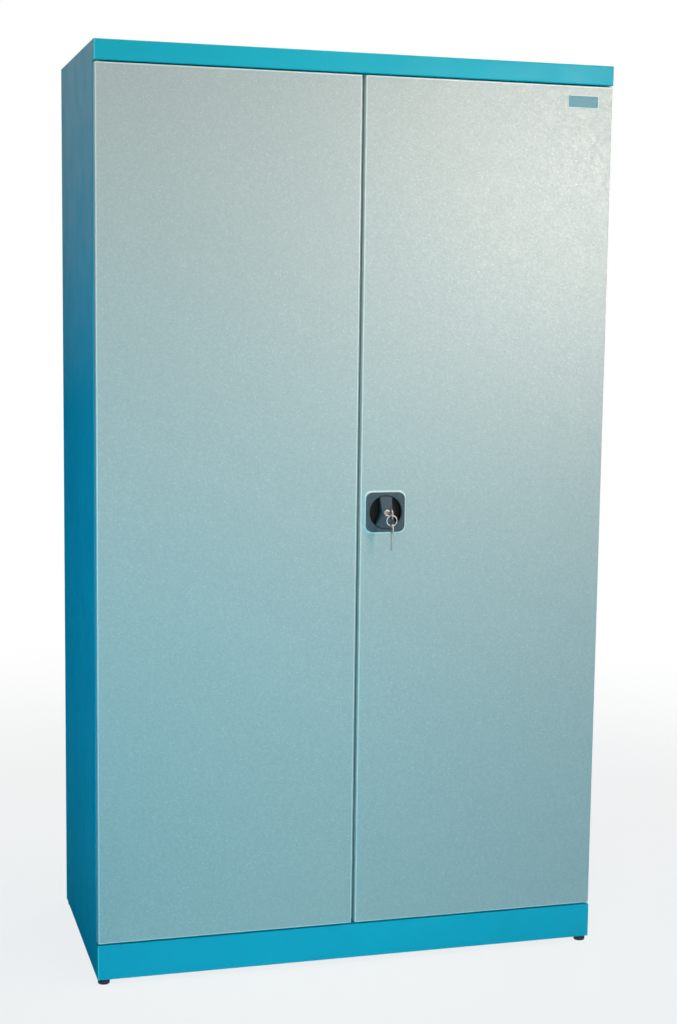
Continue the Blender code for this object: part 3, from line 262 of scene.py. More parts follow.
@dataclass(frozen=True)
class Cells:
    """Rounded cells of a real size."""

    size_mm: float

    def add(self, tree: Tree) -> Socket:
        """Adds the cells.

        Args:
            tree: the finish's tree.

        Returns:
            The distance from the nearest cell's middle.
        """
        place = add_node(tree, "ShaderNodeTexCoord", out="Object")
        inputs = {"Vector": place, "Scale": 1.0 / (self.size_mm * MM)}
        return add_node(tree, "ShaderNodeTexVoronoi", inputs, feature="SMOOTH_F1")


@dataclass(frozen=True)
class Depth:
    """A share that changes with the depth behind the doors' outer face."""

    start_mm: float
    end_mm: float
    before: float
    after: float

    def add(self, tree: Tree) -> Socket:
        """Adds the share.

        Args:
            tree: the finish's tree.

        Returns:
            The share, which goes softly from before to after.
        """
        place = add_node(tree, "ShaderNodeTexCoord", out="Object")
        deep = add_node(tree, "ShaderNodeSeparateXYZ", {"Vector": place}, out="Y")
        inputs = {"Value": deep, "To Min": self.before, "To Max": self.after}
        inputs["From Min"] = FRONT_FACE + self.start_mm * MM
        inputs["From Max"] = FRONT_FACE + self.end_mm * MM
        return add_node(tree, "ShaderNodeMapRange", inputs, interpolation_type="SMOOTHSTEP")


@dataclass(frozen=True)
class PaintedEdgeHighlight:
    """A painted highlight: a thin pale border on the front face along the folds, where the rounded folds
    catch the light.

    It keeps to the front: depth_mm is how far it runs round a fold and back.
    """

    x_edges: tuple[float, ...]
    z_edges: tuple[float, ...]
    width_mm: float
    depth_mm: float
    share: float
    full_share: float = 0.6  # the part of the width and depth that has the full share

    def add(self, tree: Tree) -> Socket:
        """Adds the border.

        Args:
            Adds the painted highlight.

        Returns:
            The painted highlight's share, and 0 beside it.
        """
        place = add_node(tree, "ShaderNodeTexCoord", out="Object")
        axes = add_node(tree, "ShaderNodeSeparateXYZ", {"Vector": place}).node.outputs
        nearest: Any = 1.0  # further than any edge
        for value, edges in ((axes["X"], self.x_edges), (axes["Z"], self.z_edges)):
            for edge in edges:
                offset = add_node(tree, "ShaderNodeMath", {0: value, 1: edge}, operation="SUBTRACT")
                gap = add_node(tree, "ShaderNodeMath", {0: offset}, operation="ABSOLUTE")
                inputs = {0: nearest, 1: gap}
                nearest = add_node(tree, "ShaderNodeMath", inputs, operation="MINIMUM")
        width = self.width_mm * MM
        inputs = {"Value": nearest, "From Min": width * self.full_share, "From Max": width}
        inputs |= {"To Min": self.share, "To Max": 0.0}
        border = add_node(tree, "ShaderNodeMapRange", inputs, interpolation_type="SMOOTHSTEP")
        front = Depth(self.depth_mm * self.full_share, self.depth_mm, self.share, 0.0).add(tree)
        inputs = {0: border, 1: front}
        return add_node(tree, "ShaderNodeMath", inputs, operation="MINIMUM")


@dataclass(frozen=True)
class Relief:
    """Heights for the shader's normal: a grain, and a second pattern with a weight."""

    depth_mm: float
    grain: Grain
    second: Ramp | Cells | None = None
    weight: float = 0.0

    def add(self, tree: Tree) -> Socket:
        """Adds the heights.

        Args:
            tree: the finish's tree.

        Returns:
            The normal that follows from them.
        """
        height = self.grain.add(tree)
        if self.second:
            inputs = {0: self.second.add(tree), 1: self.weight, 2: height}
            height = add_node(tree, "ShaderNodeMath", inputs, operation="MULTIPLY_ADD")
        inputs = {"Height": height, "Strength": 1.0, "Distance": self.depth_mm * MM}
        return add_node(tree, "ShaderNodeBump", inputs)


# Finishes


@dataclass(frozen=True)
class Finish:
    """A finish: colours laid over each other by patterns, some of them painted highlight or shade, a gloss
    and a relief.
    """

    name: str
    colour: str
    layers: tuple[tuple[str, Ramp | Depth | PaintedEdgeHighlight], ...]
    gloss: Ramp | float
    relief: Relief
    constants: dict[str, float]

    def make(self) -> Material:
        """Builds the finish.

        Returns:
            Its material.
        """
        material = empty_material(self.name)
        tree = material.node_tree
        colour: Any = linear(self.colour)
        # a Mix node for colours has its share at input 0, them at 6 and 7, and output 2
        for over, pattern in self.layers:
            inputs = {0: pattern.add(tree), 6: colour, 7: linear(over)}
            colour = add_node(tree, "ShaderNodeMix", inputs, out=2, data_type="RGBA")
        gloss = self.gloss.add(tree) if isinstance(self.gloss, Ramp) else self.gloss
        inputs = {"Base Color": colour, "Roughness": gloss, "Normal": self.relief.add(tree)}
        shader = add_node(tree, "ShaderNodeBsdfPrincipled", inputs | self.constants)
        add_node(tree, "ShaderNodeOutputMaterial", {"Surface": shader})
        return material


# Polyester powder, sprayed and baked: an even colour that broad clouds keep from being
# flat, with a painted highlight that makes it paler along the folds, and a gloss that faint
# orange peel breaks up. Real peel is about 2 mm, too fine for the picture, and is drawn at 5 mm.
SATIN_POWDER_COAT = Finish(
    name="blue_green_satin_powder_coat",
    colour="#00B6CE",
    layers=(
        ("#00BED6", Ramp(Grain(320.0, 3.0))),
        # painted highlight: paler along the band's left edge, under the band and along the plinth's top
        ("#5CE0EA", PaintedEdgeHighlight((-0.5,), (0.098, 1.693), width_mm=2.6, depth_mm=2.6, share=0.85)),
    ),
    gloss=Ramp(Grain(60.0), 0.38, 0.47),
    relief=Relief(0.03, Grain(5.0, 1.0)),
    constants={"Specular IOR Level": 0.24},
)

# Silver structure powder: pebbles scatter the light, so the sheen is broad and grainy,
# with fine bright flake. A painted highlight makes it paler along the folds. Real pebbles
# are 1 to 2 mm, and are drawn at 4.6 mm to show at 1.9 mm a pixel.
PEBBLES = Grain(4.6, 3.0, 0.65)
TEXTURED_POWDER_COAT = Finish(
    name="silver_grey_textured_powder_coat",
    colour="#B7BCBD",
    layers=(
        ("#C9CAC8", Ramp(PEBBLES, 0.15, 0.85)),
        ("#E6EAE8", Ramp(Grain(2.4, 0.0), 0.0, 0.5, middle=(0.66, 0.78))),
        ("#B7BCBD", Ramp(Grain(420.0), 0.0, 0.16)),
        (
            # painted highlight along the leaves' folds, running round onto their edges
            "#F1F4F1",
            PaintedEdgeHighlight((-0.499, -0.0035, 0.0035), (0.081, 1.710), width_mm=3.2, depth_mm=14.0, share=0.8),
        ),
    ),
    gloss=Ramp(PEBBLES, 0.50, 0.36),
    relief=Relief(0.12, PEBBLES, Cells(5.52), -0.5),
    constants={"Metallic": 0.12, "Specular IOR Level": 0.3},
)

# Bright zinc plate with a clear passivation: cool metal with faint straw clouds, whose
# gloss is broken by tumbling marks.
TUMBLING_MARKS = Grain(1.2, 3.0, 0.6, (0.25, 1.0, 1.0))
ZINC_PLATE = Finish(
    name="clear_passivated_zinc_plate",
    colour="#BFC6CB",
    layers=(("#C4BFAE", Ramp(Grain(9.0, 3.0), 0.0, 0.7)),),
    gloss=Ramp(TUMBLING_MARKS, 0.25, 0.45),
    relief=Relief(0.01, TUMBLING_MARKS),
    constants={"Metallic": 1.0},
)

# Bright drawn bar and strip: fine die lines run upwards under an oil film, and patches
# of dulled surface vary it.
DIE_LINES = Grain(0.9, 4.0, 0.6, (1.0, 1.0, 0.04))
DRAWN_STEEL = Finish(
    name="bright_drawn_steel",
    colour="#BDBDB9",
    layers=(("#9A9B99", Ramp(Grain(14.0, 3.0), 0.0, 0.6)),),
    gloss=Ramp(DIE_LINES, 0.21, 0.42),
    relief=Relief(0.012, DIE_LINES),
    constants={"Metallic": 1.0},
)

# Satin nickel plate on lock parts: a soft mirror, dulled in places by hairlines from
# keys and fingers.
HAIRLINES = Grain(0.5, 4.0, 0.7, (0.15, 1.0, 1.0))
NICKEL_PLATE = Finish(
    name="satin_nickel_plate",
    colour="#E2E1DE",
    layers=(("#C6C3B8", Ramp(Grain(5.0), 0.0, 0.5)),),
    gloss=Ramp(HAIRLINES, 0.23, 0.39),
    relief=Relief(0.004, HAIRLINES),
    constants={"Metallic": 1.0},
)

# Moulded glass-filled polyamide: its spark-eroded grain gives a soft even sheen, and the
# fibre mottles the black. Painted shade darkens it from the doors' face back into the dish.
ERODED_GRAIN = Grain(0.9)
GRAINED_POLYAMIDE = Finish(
    name="grained_black_polyamide",
    colour="#47525A",
    # the near-black layer is painted shade, darker deeper behind the doors' face
    layers=(("#545F64", Ramp(Grain(7.0, 4.0), 0.0, 0.8)), ("#0A0B12", Depth(-3.0, 4.0, 0.0, 1.0))),
    gloss=Ramp(ERODED_GRAIN, 0.41, 0.56),
    relief=Relief(0.045, ERODED_GRAIN),
    constants={"IOR": 1.53, "Specular IOR Level": 0.28},
)

# Injection-moulded natural nylon bush: waxy grey-white that a little light soaks into,
# with flow marks that vary its tone.
MOULDED_NYLON = Finish(
    name="moulded_grey_nylon",
    colour="#8D9194",
    layers=(("#A2A5A6", Ramp(Grain(3.0, 3.0, 0.5, (1.0, 1.0, 0.3)))),),
    gloss=0.42,
    relief=Relief(0.01, Grain(0.8)),
    constants={"IOR": 1.53, "Subsurface Weight": 0.08, "Subsurface Scale": 0.002},
)

# Moulded or extruded rubber: dark and dry, greyed unevenly by sulphur bloom, with a fine
# grain that kills the gloss.
MATT_RUBBER = Finish(
    name="matt_black_rubber",
    colour="#1E1F21",
    layers=(("#34363A", Ramp(Grain(8.0, 4.0), 0.0, 0.7)),),
    gloss=0.78,
    relief=Relief(0.03, Grain(1.1)),
    constants={"IOR": 1.5},
)

# Moulded foot pad in navy-black polyethylene: satin, greyed in streaks by scuffs from
# sliding over a floor.
FOOT_POLYETHYLENE = Finish(
    name="navy_black_moulded_foot",
    colour="#191C2A",
    layers=(("#3A3E4A", Ramp(Grain(4.0, 4.0, 0.6, (1.0, 1.0, 4.0)), -0.4, 0.5)),),
    gloss=0.5,
    relief=Relief(0.02, Grain(1.5)),
    constants={"IOR": 1.51},
)

# Pressure die-cast zinc alloy, left raw: grey satin metal, darkened by flow marks, with
# a sandy skin that softens the gloss.
FLOW_MARKS = Ramp(Grain(6.0, 5.0, 0.6), 0.0, 0.9)
CAST_SKIN = Grain(0.7, 3.0)
CAST_RELIEF = Relief(0.03, CAST_SKIN, FLOW_MARKS, 0.6)
DIE_CAST_ZINC = Finish(
    name="raw_die_cast_zinc",
    colour="#9BA0A5",
    layers=(("#7F858A", FLOW_MARKS),),
    gloss=Ramp(CAST_SKIN, 0.38, 0.56),
    relief=CAST_RELIEF,
    constants={"Metallic": 0.9},
)

# The same casting, satin plated: a pale bezel that stays bright from every side.
PLATED_BEZEL = Finish(
    name="satin_plated_zinc_bezel",
    colour="#F4FAF9",
    layers=(("#E6F0F0", FLOW_MARKS),),
    gloss=Ramp(CAST_SKIN, 0.44, 0.62),
    relief=CAST_RELIEF,
    constants={"Metallic": 0.1},
)

# Printed and lacquered aluminium: brush lines show through a teal-grey field, inside a
# rim left bare and pale.
BRUSH_LINES = Grain(1.0, 4.0, 0.6, (0.05, 1.0, 1.0))
LACQUERED_PLATE = Finish(
    name="teal_grey_lacquered_aluminium",
    colour="#4C828F",
    layers=(("#6398AA", Ramp(BRUSH_LINES)), ("#D5E6E6", Depth(-0.78, -0.6, 1.0, 0.0))),
    gloss=Ramp(BRUSH_LINES, 0.39, 0.55),
    relief=Relief(0.01, BRUSH_LINES),
    constants={"Metallic": 0.15},
)

SLOT_FINISHES = {
    Slot.BODY_PAINT: SATIN_POWDER_COAT,
    Slot.DOOR_PAINT: TEXTURED_POWDER_COAT,
    Slot.ZINC: ZINC_PLATE,
    Slot.STEEL: DRAWN_STEEL,
    Slot.CHROME: NICKEL_PLATE,
    Slot.BLACK_PLASTIC: GRAINED_POLYAMIDE,
    Slot.NYLON: MOULDED_NYLON,
    Slot.RUBBER: MATT_RUBBER,
    Slot.FOOT_RUBBER: FOOT_POLYETHYLENE,
    Slot.DIE_CAST: DIE_CAST_ZINC,
}


def slot_of(node: Object) -> Slot:
    """Reads a CAD node's slot before or after it is dressed.

    Args:
        node: the node's object.

    Returns:
        Its slot.
    """
    if "finish_slot" not in node:
        node["finish_slot"] = node.data.materials[0].name.split(".")[0]
    return Slot(node["finish_slot"])


@dataclass
class Palette:
    """Every finish of the cabinet, made once, and the pieces that are dressed in them."""

    by_slot: dict[Slot, Material] = field(
        default_factory=lambda: {slot: finish.make() for slot, finish in SLOT_FINISHES.items()}
    )
    plate: Material = field(default_factory=LACQUERED_PLATE.make)
    bezel: Material = field(default_factory=PLATED_BEZEL.make)

    def dress_frame(self) -> int:
        """Gives every CAD node the finish of its slot.

        Returns:
            How many nodes were dressed.
        """
        for node in frame["nodes"].values():
            node.data.materials[0] = self.by_slot[slot_of(node)]
        return len(frame["nodes"])

    def raise_piece(
        self,
        name: str,
        mesh: Mesh,
        body: Body | str,
        slot: Slot,
        material: Material | None = None,
        crisp_degrees: float | None = 35.0,
    ) -> Object:
        """Puts a finished mesh in the scene as a piece that rides on a body.

        Args:
            name: the piece's name.
            mesh: its mesh, in place.
            body: the body that carries it.
            slot: the record's slot for its finish.
            material: its finish, where it isn't the slot's.
            crisp_degrees: edges sharper than this stay crisp, and None keeps the shading.

        Returns:
            The piece.
        """
        if crisp_degrees:
            mesh.polygons.foreach_set("use_smooth", [True] * len(mesh.polygons))
            mesh.set_sharp_from_angle(angle=math.radians(crisp_degrees))
        mesh.materials.clear()
        mesh.materials.append(material or self.by_slot[slot])
        mesh.name = name
        piece = put_in_scene(name, mesh)
        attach(piece, body.value if isinstance(body, Body) else body)
        return piece


# Helpers for meshes


def mesh_of(form: bmesh.types.BMesh, name: str, close: bool = False) -> Mesh:
    """Turns a bmesh to a mesh.

    Args:
        form: the bmesh, which is freed.
        name: the mesh's name.
        close: first merges what meets and turns the faces outwards.

    Returns:
        The mesh.
    """
    if close:
        bmesh.ops.remove_doubles(form, verts=form.verts, dist=MERGE_DISTANCE)
        bmesh.ops.recalc_face_normals(form, faces=form.faces)
    mesh = bpy.data.meshes.new(name)
    form.to_mesh(mesh)
    form.free()
    return mesh


def evaluated_mesh(holder: Object) -> Mesh:
    """The mesh that an object's modifiers make. The object is then removed.

    Args:
        holder: an object with modifiers.

    Returns:
        A plain mesh.
    """
    graph = bpy.context.evaluated_depsgraph_get()
    mesh = bpy.data.meshes.new_from_object(holder.evaluated_get(graph))
    bpy.data.objects.remove(holder)
    return mesh


def join_meshes(meshes: Iterable[Mesh]) -> Mesh:
    """One mesh from several.

    Args:
        meshes: the meshes, which are removed.

    Returns:
        The joined mesh.
    """
    form = bmesh.new()
    for mesh in meshes:
        form.from_mesh(mesh)
        bpy.data.meshes.remove(mesh)
    return mesh_of(form, "joined")


@dataclass(frozen=True)
class EdgeBreak:
    """The small radius that shearing, bending or moulding leaves on an edge."""

    radius_mm: float
    steps: int = 2
    from_degrees: float = 32.0
    flat_degrees: float = 0.6
    flats_weight: int = 90

    def soften(self, node: str, palette: Palette) -> None:
        """Replaces a CAD node by a copy with rounded edges and smooth bends.

        Args:
            node: the CAD node's name.
            palette: the finishes.
        """
        source = frame["nodes"][node]
        form = bmesh.new()
        form.from_mesh(source.data)
        bmesh.ops.remove_doubles(form, verts=form.verts, dist=MERGE_DISTANCE)
        flat = math.radians(self.flat_degrees)
        bmesh.ops.dissolve_limit(form, angle_limit=flat, verts=form.verts, edges=form.edges)
        mesh = mesh_of(form, node + "_rounded")
        mesh.polygons.foreach_set("use_smooth", [True] * len(mesh.polygons))
        holder = put_in_scene(node + "_rounded", mesh)
        bevel = holder.modifiers.new("edge_break", "BEVEL")
        bevel.width = self.radius_mm * MM
        bevel.segments = self.steps
        bevel.limit_method = "ANGLE"
        bevel.angle_limit = math.radians(self.from_degrees)
        flats = holder.modifiers.new("true_flats", "WEIGHTED_NORMAL")
        flats.mode = "FACE_AREA"
        flats.weight = self.flats_weight
        rounded = evaluated_mesh(holder)
        body, slot = source["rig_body"], slot_of(source)
        piece = palette.raise_piece(node + "_finished", rounded, body, slot, crisp_degrees=None)
        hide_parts(node)


def turned(profile: Sequence[Span], centre: Point, steps: int) -> Mesh:
    """A closed form turned about an upright axis.

    Args:
        profile: radius and height pairs that start and end on the axis.
        centre: where the axis's origin goes.
        steps: faces around.

    Returns:
        The mesh.
    """
    form = bmesh.new()
    angles = [math.tau * i / steps for i in range(steps)]
    rings = []
    for radius, height in profile:
        around = angles if radius > MERGE_DISTANCE else angles[:1]
        rings.append([form.verts.new((radius * math.cos(a), radius * math.sin(a), height)) for a in around])
    for low, high in zip(rings, rings[1:]):
        for i in range(steps):
            j = (i + 1) % steps
            corners = [low[i % len(low)], low[j % len(low)], high[j % len(high)], high[i % len(high)]]
            unique = list(dict.fromkeys(corners))
            if len(unique) > 2:
                form.faces.new(unique)
    form.transform(Matrix.Translation(centre))
    return mesh_of(form, "turned", close=True)


def spaced(low: float, high: float, margin: float, count: int) -> list[float]:
    """Evenly spaced places that keep a margin at both ends."""
    return [low + margin + (high - low - 2 * margin) * i / (count - 1) for i in range(count)]


def stepped_plate(half: Span, steps: Sequence[Point], centre: Point, open_middle: bool = False) -> Mesh:
    """A plate on the door's face made of rounded outlines at stated depths.

    Args:
        half: half of its width and of its height.
        steps: inset, corner radius and Y of each outline, from the back edge to the field.
        centre: the plate's centre.
        open_middle: joins the last outline back to the first, so that it is a frame.

    Returns:
        The mesh.
    """
    form = bmesh.new()
    rings = []
    for inset, radius, y in steps:
        ring = []
        for corner, (right, up) in enumerate(((1, 1), (-1, 1), (-1, -1), (1, -1))):
            for i in range(CORNER_STEPS + 1):
                angle = math.pi / 2 * (corner + i / CORNER_STEPS)
                x = right * (half[0] - inset - radius) + radius * math.cos(angle)
                z = up * (half[1] - inset - radius) + radius * math.sin(angle)
                ring.append(form.verts.new((centre[0] + x, centre[1] + y, centre[2] + z)))
        rings.append(ring)
    pairs = list(zip(rings, rings[1:]))
    if open_middle:
        pairs.append((rings[-1], rings[0]))
    else:
        form.faces.new(rings[0])
        form.faces.new(rings[-1])
    count = len(rings[0])
    for low, high in pairs:
        for i in range(count):
            j = (i + 1) % count
            form.faces.new([low[i], low[j], high[j], high[i]])
    return mesh_of(form, "plate", close=True)


# Geometry Nodes trees


@dataclass
class RepeatTree:
    """A Geometry Nodes tree with named inputs, built link by link."""

    name: str
    sizes: tuple[str, ...]
    counts: tuple[str, ...] = ()
    tree: Tree = field(init=False)
    source: bpy.types.NodeOutputs = field(init=False)

    def __post_init__(self) -> None:
        """Makes the empty tree with its sockets."""
        self.tree = bpy.data.node_groups.new(self.name, "GeometryNodeTree")
        sockets = [("Geometry", "Geometry"), ("Finish", "Material")]
        sockets += [(name, "Float") for name in self.sizes] + [(name, "Int") for name in self.counts]
        for name, kind in sockets:
            self.tree.interface.new_socket(name, in_out="INPUT", socket_type="NodeSocket" + kind)
        self.tree.interface.new_socket("Geometry", in_out="OUTPUT", socket_type="NodeSocketGeometry")
        self.source = self.node("NodeGroupInput").node.outputs

    def node(self, kind: str, inputs: Inputs | None = None, **settings: Any) -> Socket | None:
        """Adds a node to this tree and gives its wanted output."""
        return add_node(self.tree, kind, inputs, **settings)

    def close(self, geometry: Socket) -> None:
        """Ends the tree in real, finished geometry.

        Args:
            geometry: what the tree makes.
        """
        real = self.node("GeometryNodeRealizeInstances", {"Geometry": geometry})
        inputs = {"Geometry": real, "Material": self.source["Finish"]}
        done = self.node("GeometryNodeSetMaterial", inputs)
        self.node("NodeGroupOutput", {"Geometry": done})

    def close_on_points(
        self, points: Socket, shape: Socket, size: tuple[str, ...], **turn: Socket
    ) -> None:
        """Ends the tree in a sized copy of a shape on each point.

        Args:
            points: where the copies go.
            shape: a shape of radius 1.
            size: the inputs that give its radius and its half height.
            turn: the copies' rotation, where they have one.
        """
        radius, height = (self.source[name] for name in size)
        scale = self.node("ShaderNodeCombineXYZ", {"X": radius, "Y": radius, "Z": height})
        inputs = {"Geometry": shape, "Scale": scale}
        sized = self.node("GeometryNodeTransform", inputs)
        inputs = {"Points": points, "Instance": sized} | turn
        self.close(self.node("GeometryNodeInstanceOnPoints", inputs))

    def run(self, values: dict[str, Any], base: Mesh | None = None) -> Mesh:
        """Runs the tree once and keeps its result as a plain mesh.

        Args:
            values: input names to values.
            base: the mesh that the tree reads, if it reads one.

        Returns:
            The made mesh.
        """
        holder = put_in_scene(self.name, base or bpy.data.meshes.new(self.name))
        modifier = holder.modifiers.new(self.name, "NODES")
        modifier.node_group = self.tree
        for item in self.tree.interface.items_tree:
            if item.in_out == "INPUT" and item.name in values:
                modifier[item.identifier] = values[item.name]
        return evaluated_mesh(holder)


class HeadKind(Enum):
    """The heads that fasteners can have."""

    DOME = "dome"
    CROSS_RECESS = "cross recess"


@dataclass(frozen=True)
class Fasteners:
    """Heads of one kind and size, each turned by a fixed-seed random angle."""

    radius: float
    height: float
    kind: HeadKind = HeadKind.DOME
    seed: int = 7
    recess_degrees: float = 7.0
    recess_long: float = 1.1  # the recess is in shares of the head's radius and height
    recess_wide: float = 0.26
    recess_tall: float = 0.9
    recess_middles: Span = (0.95, 0.98)

    def tree(self) -> RepeatTree:
        """Makes the tree.

        Returns:
            The tree, with inputs Head Radius and Head Height.
        """
        tree = RepeatTree("heads_" + self.kind.name.lower(), ("Head Radius", "Head Height"))
        head = tree.node("GeometryNodeMeshUVSphere", {"Segments": 16, "Rings": 8, "Radius": 1.0})
        slots = ()
        if self.kind is HeadKind.CROSS_RECESS:
            slots = ((self.recess_long, self.recess_wide), (self.recess_wide, self.recess_long))
        for (x, y), middle in zip(slots, self.recess_middles):
            box = tree.node("GeometryNodeMeshCube", {"Size": (x, y, self.recess_tall)})
            inputs = {"Geometry": box, "Translation": (0.0, 0.0, middle)}
            inputs["Rotation"] = (0.0, 0.0, math.radians(self.recess_degrees))
            bar = tree.node("GeometryNodeTransform", inputs)
            inputs = {"Mesh 1": head, "Mesh 2": bar}
            head = tree.node("GeometryNodeMeshBoolean", inputs, operation="DIFFERENCE")
        attribute = {"out": "Attribute", "data_type": "FLOAT_VECTOR"}
        facing = tree.node("GeometryNodeInputNamedAttribute", {"Name": "facing"}, **attribute)
        aligned = tree.node("FunctionNodeAlignRotationToVector", {"Vector": facing}, axis="Z")
        # a Random Value node for numbers has its upper limit at input 3, and output 1
        limits = {"Seed": self.seed, 3: math.pi}
        spin = tree.node("FunctionNodeRandomValue", limits, out=1, data_type="FLOAT")
        inputs = {"Rotation": aligned, "Rotate By": tree.node("ShaderNodeCombineXYZ", {"Z": spin})}
        turn = tree.node("FunctionNodeRotateRotation", inputs, rotation_space="LOCAL")
        tree.close_on_points(tree.source["Geometry"], head, tree.sizes, Rotation=turn)
        return tree

    def fasten(self, name: str, seats: Sequence[Seat], palette: Palette, body: Body, slot: Slot) -> None:
        """Sets a head on each seat and raises them as one piece.

        Args:
            name: the piece's name.
            seats: places, each with the way its head faces.
            palette: the finishes.
            body: the body that carries them.
            slot: the slot of their finish.
        """
        points = bpy.data.meshes.new("seats")
        points.from_pydata([place for place, _ in seats], [], [])
        ways = points.attributes.new("facing", "FLOAT_VECTOR", "POINT")
        for item, (_, way) in zip(ways.data, seats):
            item.vector = way
        values = {"Head Radius": self.radius, "Head Height": self.height, "Finish": palette.by_slot[slot]}
        palette.raise_piece(name, self.tree().run(values, points), body, slot)


def coil_tree(name: str, fillet: float = 0.18 * MM) -> RepeatTree:
    """A wire or thread ridge wound on an upright axis, with closed ends.

    Args:
        name: the tree's name.
        fillet: the radius of the wire's edges.

    Returns:
        The tree, with inputs Turns, Coil Radius, Rise, Wire Width, Wire Height and Steps.
    """
    tree = RepeatTree(name, ("Turns", "Coil Radius", "Rise", "Wire Width", "Wire Height"), ("Steps",))
    source = tree.source
    inputs = {"Resolution": source["Steps"], "Rotations": source["Turns"], "Height": source["Rise"]}
    inputs |= {"Start Radius": source["Coil Radius"], "End Radius": source["Coil Radius"]}
    path = tree.node("GeometryNodeCurveSpiral", inputs)
    upright = tree.node("GeometryNodeSetCurveNormal", {"Curve": path}, mode="Z_UP")
    inputs = {"Width": source["Wire Width"], "Height": source["Wire Height"]}
    wire = tree.node("GeometryNodeCurvePrimitiveQuadrilateral", inputs)
    inputs = {"Curve": wire, "Radius": fillet, "Count": 2}
    round_wire = tree.node("GeometryNodeFilletCurve", inputs, mode="POLY")
    inputs = {"Curve": upright, "Profile Curve": round_wire, "Fill Caps": True}
    tree.close(tree.node("GeometryNodeCurveToMesh", inputs))
    return tree


def flute_tree() -> RepeatTree:
    """Rounded grip bars set evenly round an upright axis.

    Returns:
        The tree, with inputs Ring Radius, Bar Radius, Bar Height and Count.
    """
    tree = RepeatTree("grip_flutes", ("Ring Radius", "Bar Radius", "Bar Height"), ("Count",))
    source = tree.source
    inputs = {"Resolution": source["Count"], "Radius": source["Ring Radius"]}
    circle = tree.node("GeometryNodeCurvePrimitiveCircle", inputs)
    seats = tree.node("GeometryNodeCurveToPoints", {"Curve": circle}, mode="EVALUATED")
    bar = tree.node("GeometryNodeMeshUVSphere", {"Segments": 10, "Rings": 8, "Radius": 1.0})
    tree.close_on_points(seats, bar, ("Bar Radius", "Bar Height"))
    return tree


# Sub-assemblies


@dataclass
class Carcass:
    """The welded and painted steel body, seen from outside and through open doors."""

    palette: Palette
    sheared: EdgeBreak = EdgeBreak(0.35)
    rivets: Fasteners = Fasteners(2.4 * MM, 0.9 * MM)
    rivet_pitch: float = 0.145
    rivet_inset: float = 0.011
    rivet_margin: float = 0.03
    welds: Fasteners = Fasteners(2.6 * MM, 0.22 * MM)
    weld_rows: int = 9
    weld_margin: float = 0.06
    weld_offset: float = 0.011

    def build(self) -> None:
        """Rounds the sheet edges and adds the back's rivets and the uprights' welds."""
        for node in ("top_cover", "plinth_rail", "left_side_panel", "right_side_panel"):
            self.sheared.soften(node, self.palette)
        self.back_rivets()
        self.upright_welds()

    def back_rivets(self) -> None:
        """Blind rivets along both sides of the back panel."""
        low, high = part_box("back_panel")
        rows = int((high.z - low.z - 2 * self.rivet_margin) / self.rivet_pitch) + 1
        seats = [
            ((x, high.y, z), BACKWARDS)
            for x in (low.x + self.rivet_inset, high.x - self.rivet_inset)
            for z in spaced(low.z, high.z, self.rivet_margin, rows)
        ]
        self.rivets.fasten("back_panel_rivets", seats, self.palette, Body.CARCASS, Slot.BODY_PAINT)

    def upright_welds(self) -> None:
        """Resistance-weld dimples between the slots of each upright."""
        seats: list[Seat] = []
        for side in Side:
            for row in ("front", "rear"):
                low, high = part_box(f"{row}_{side.value}_upright")
                face, inwards = (high.x, RIGHTWARDS) if side is Side.LEFT else (low.x, LEFTWARDS)
                y = (low.y + high.y) / 2 + self.weld_offset
                for z in spaced(low.z, high.z, self.weld_margin, self.weld_rows):
                    seats.append(((face, y, z), inwards))
        self.welds.fasten("upright_weld_marks", seats, self.palette, Body.CARCASS, Slot.BODY_PAINT)


@dataclass
class Doors:
    """Both door leaves with their stiffeners, spot welds and the blank sign plate."""

    palette: Palette
    folded: EdgeBreak = EdgeBreak(0.3)
    welds: Fasteners = Fasteners(2.8 * MM, 0.25 * MM)
    weld_rows: int = 13
    weld_inset: float = 0.008
    weld_margin: float = 0.05
    sheet: float = 1.2 * MM
    plate_centre: Point = (0.4384, FRONT_FACE, 1.680)
    plate_half: Span = (0.0315, 0.012)
    plate_corner: float = 1.2 * MM
    plate_rise: float = 0.9 * MM
    plate_rim: float = 1.1 * MM
    plate_chamfer: float = 0.2 * MM
    plate_slope: float = 0.4 * MM
    plate_sink: float = 0.05 * MM
    plate_crisp_degrees: float = 25.0
    side_share: float = 0.75  # of the rise
    field_share: float = 0.45

    def build(self) -> None:
        """Rounds the leaves and adds what is fixed to them."""
        for side in Side:
            self.folded.soften(f"{side.value}_door_panel", self.palette)
            self.stiffener_welds(side)
        self.sign_plate()

    def stiffener_welds(self, side: Side) -> None:
        """Weld dimples along both flanges of a stiffener.

        Args:
            side: which door.
        """
        low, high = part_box(f"{side.value}_door_stiffener")
        seats = [
            ((x, low.y + self.sheet, z), BACKWARDS)
            for z in spaced(low.z, high.z, self.weld_margin, self.weld_rows)
            for x in (low.x + self.weld_inset, high.x - self.weld_inset)
        ]
        self.welds.fasten(f"{side.value}_door_weld_marks", seats, self.palette, side.door, Slot.DOOR_PAINT)

    def sign_plate(self) -> None:
        """A blank plate with a raised rim, where a maker's sign would be."""
        corner, rise, rim = self.plate_corner, self.plate_rise, self.plate_rim
        steps = (
            (0.0, corner, self.plate_sink),
            (0.0, corner, -rise * self.side_share),
            (self.plate_chamfer, corner, -rise),
            (rim, corner / 2, -rise),
            (rim + self.plate_slope, corner / 2, -rise * self.field_share),
        )
        mesh = stepped_plate(self.plate_half, steps, self.plate_centre)
        plate, crisp = self.palette.plate, self.plate_crisp_degrees
        self.palette.raise_piece("blank_sign_plate", mesh, Body.RIGHT_DOOR, Slot.CHROME, plate, crisp)


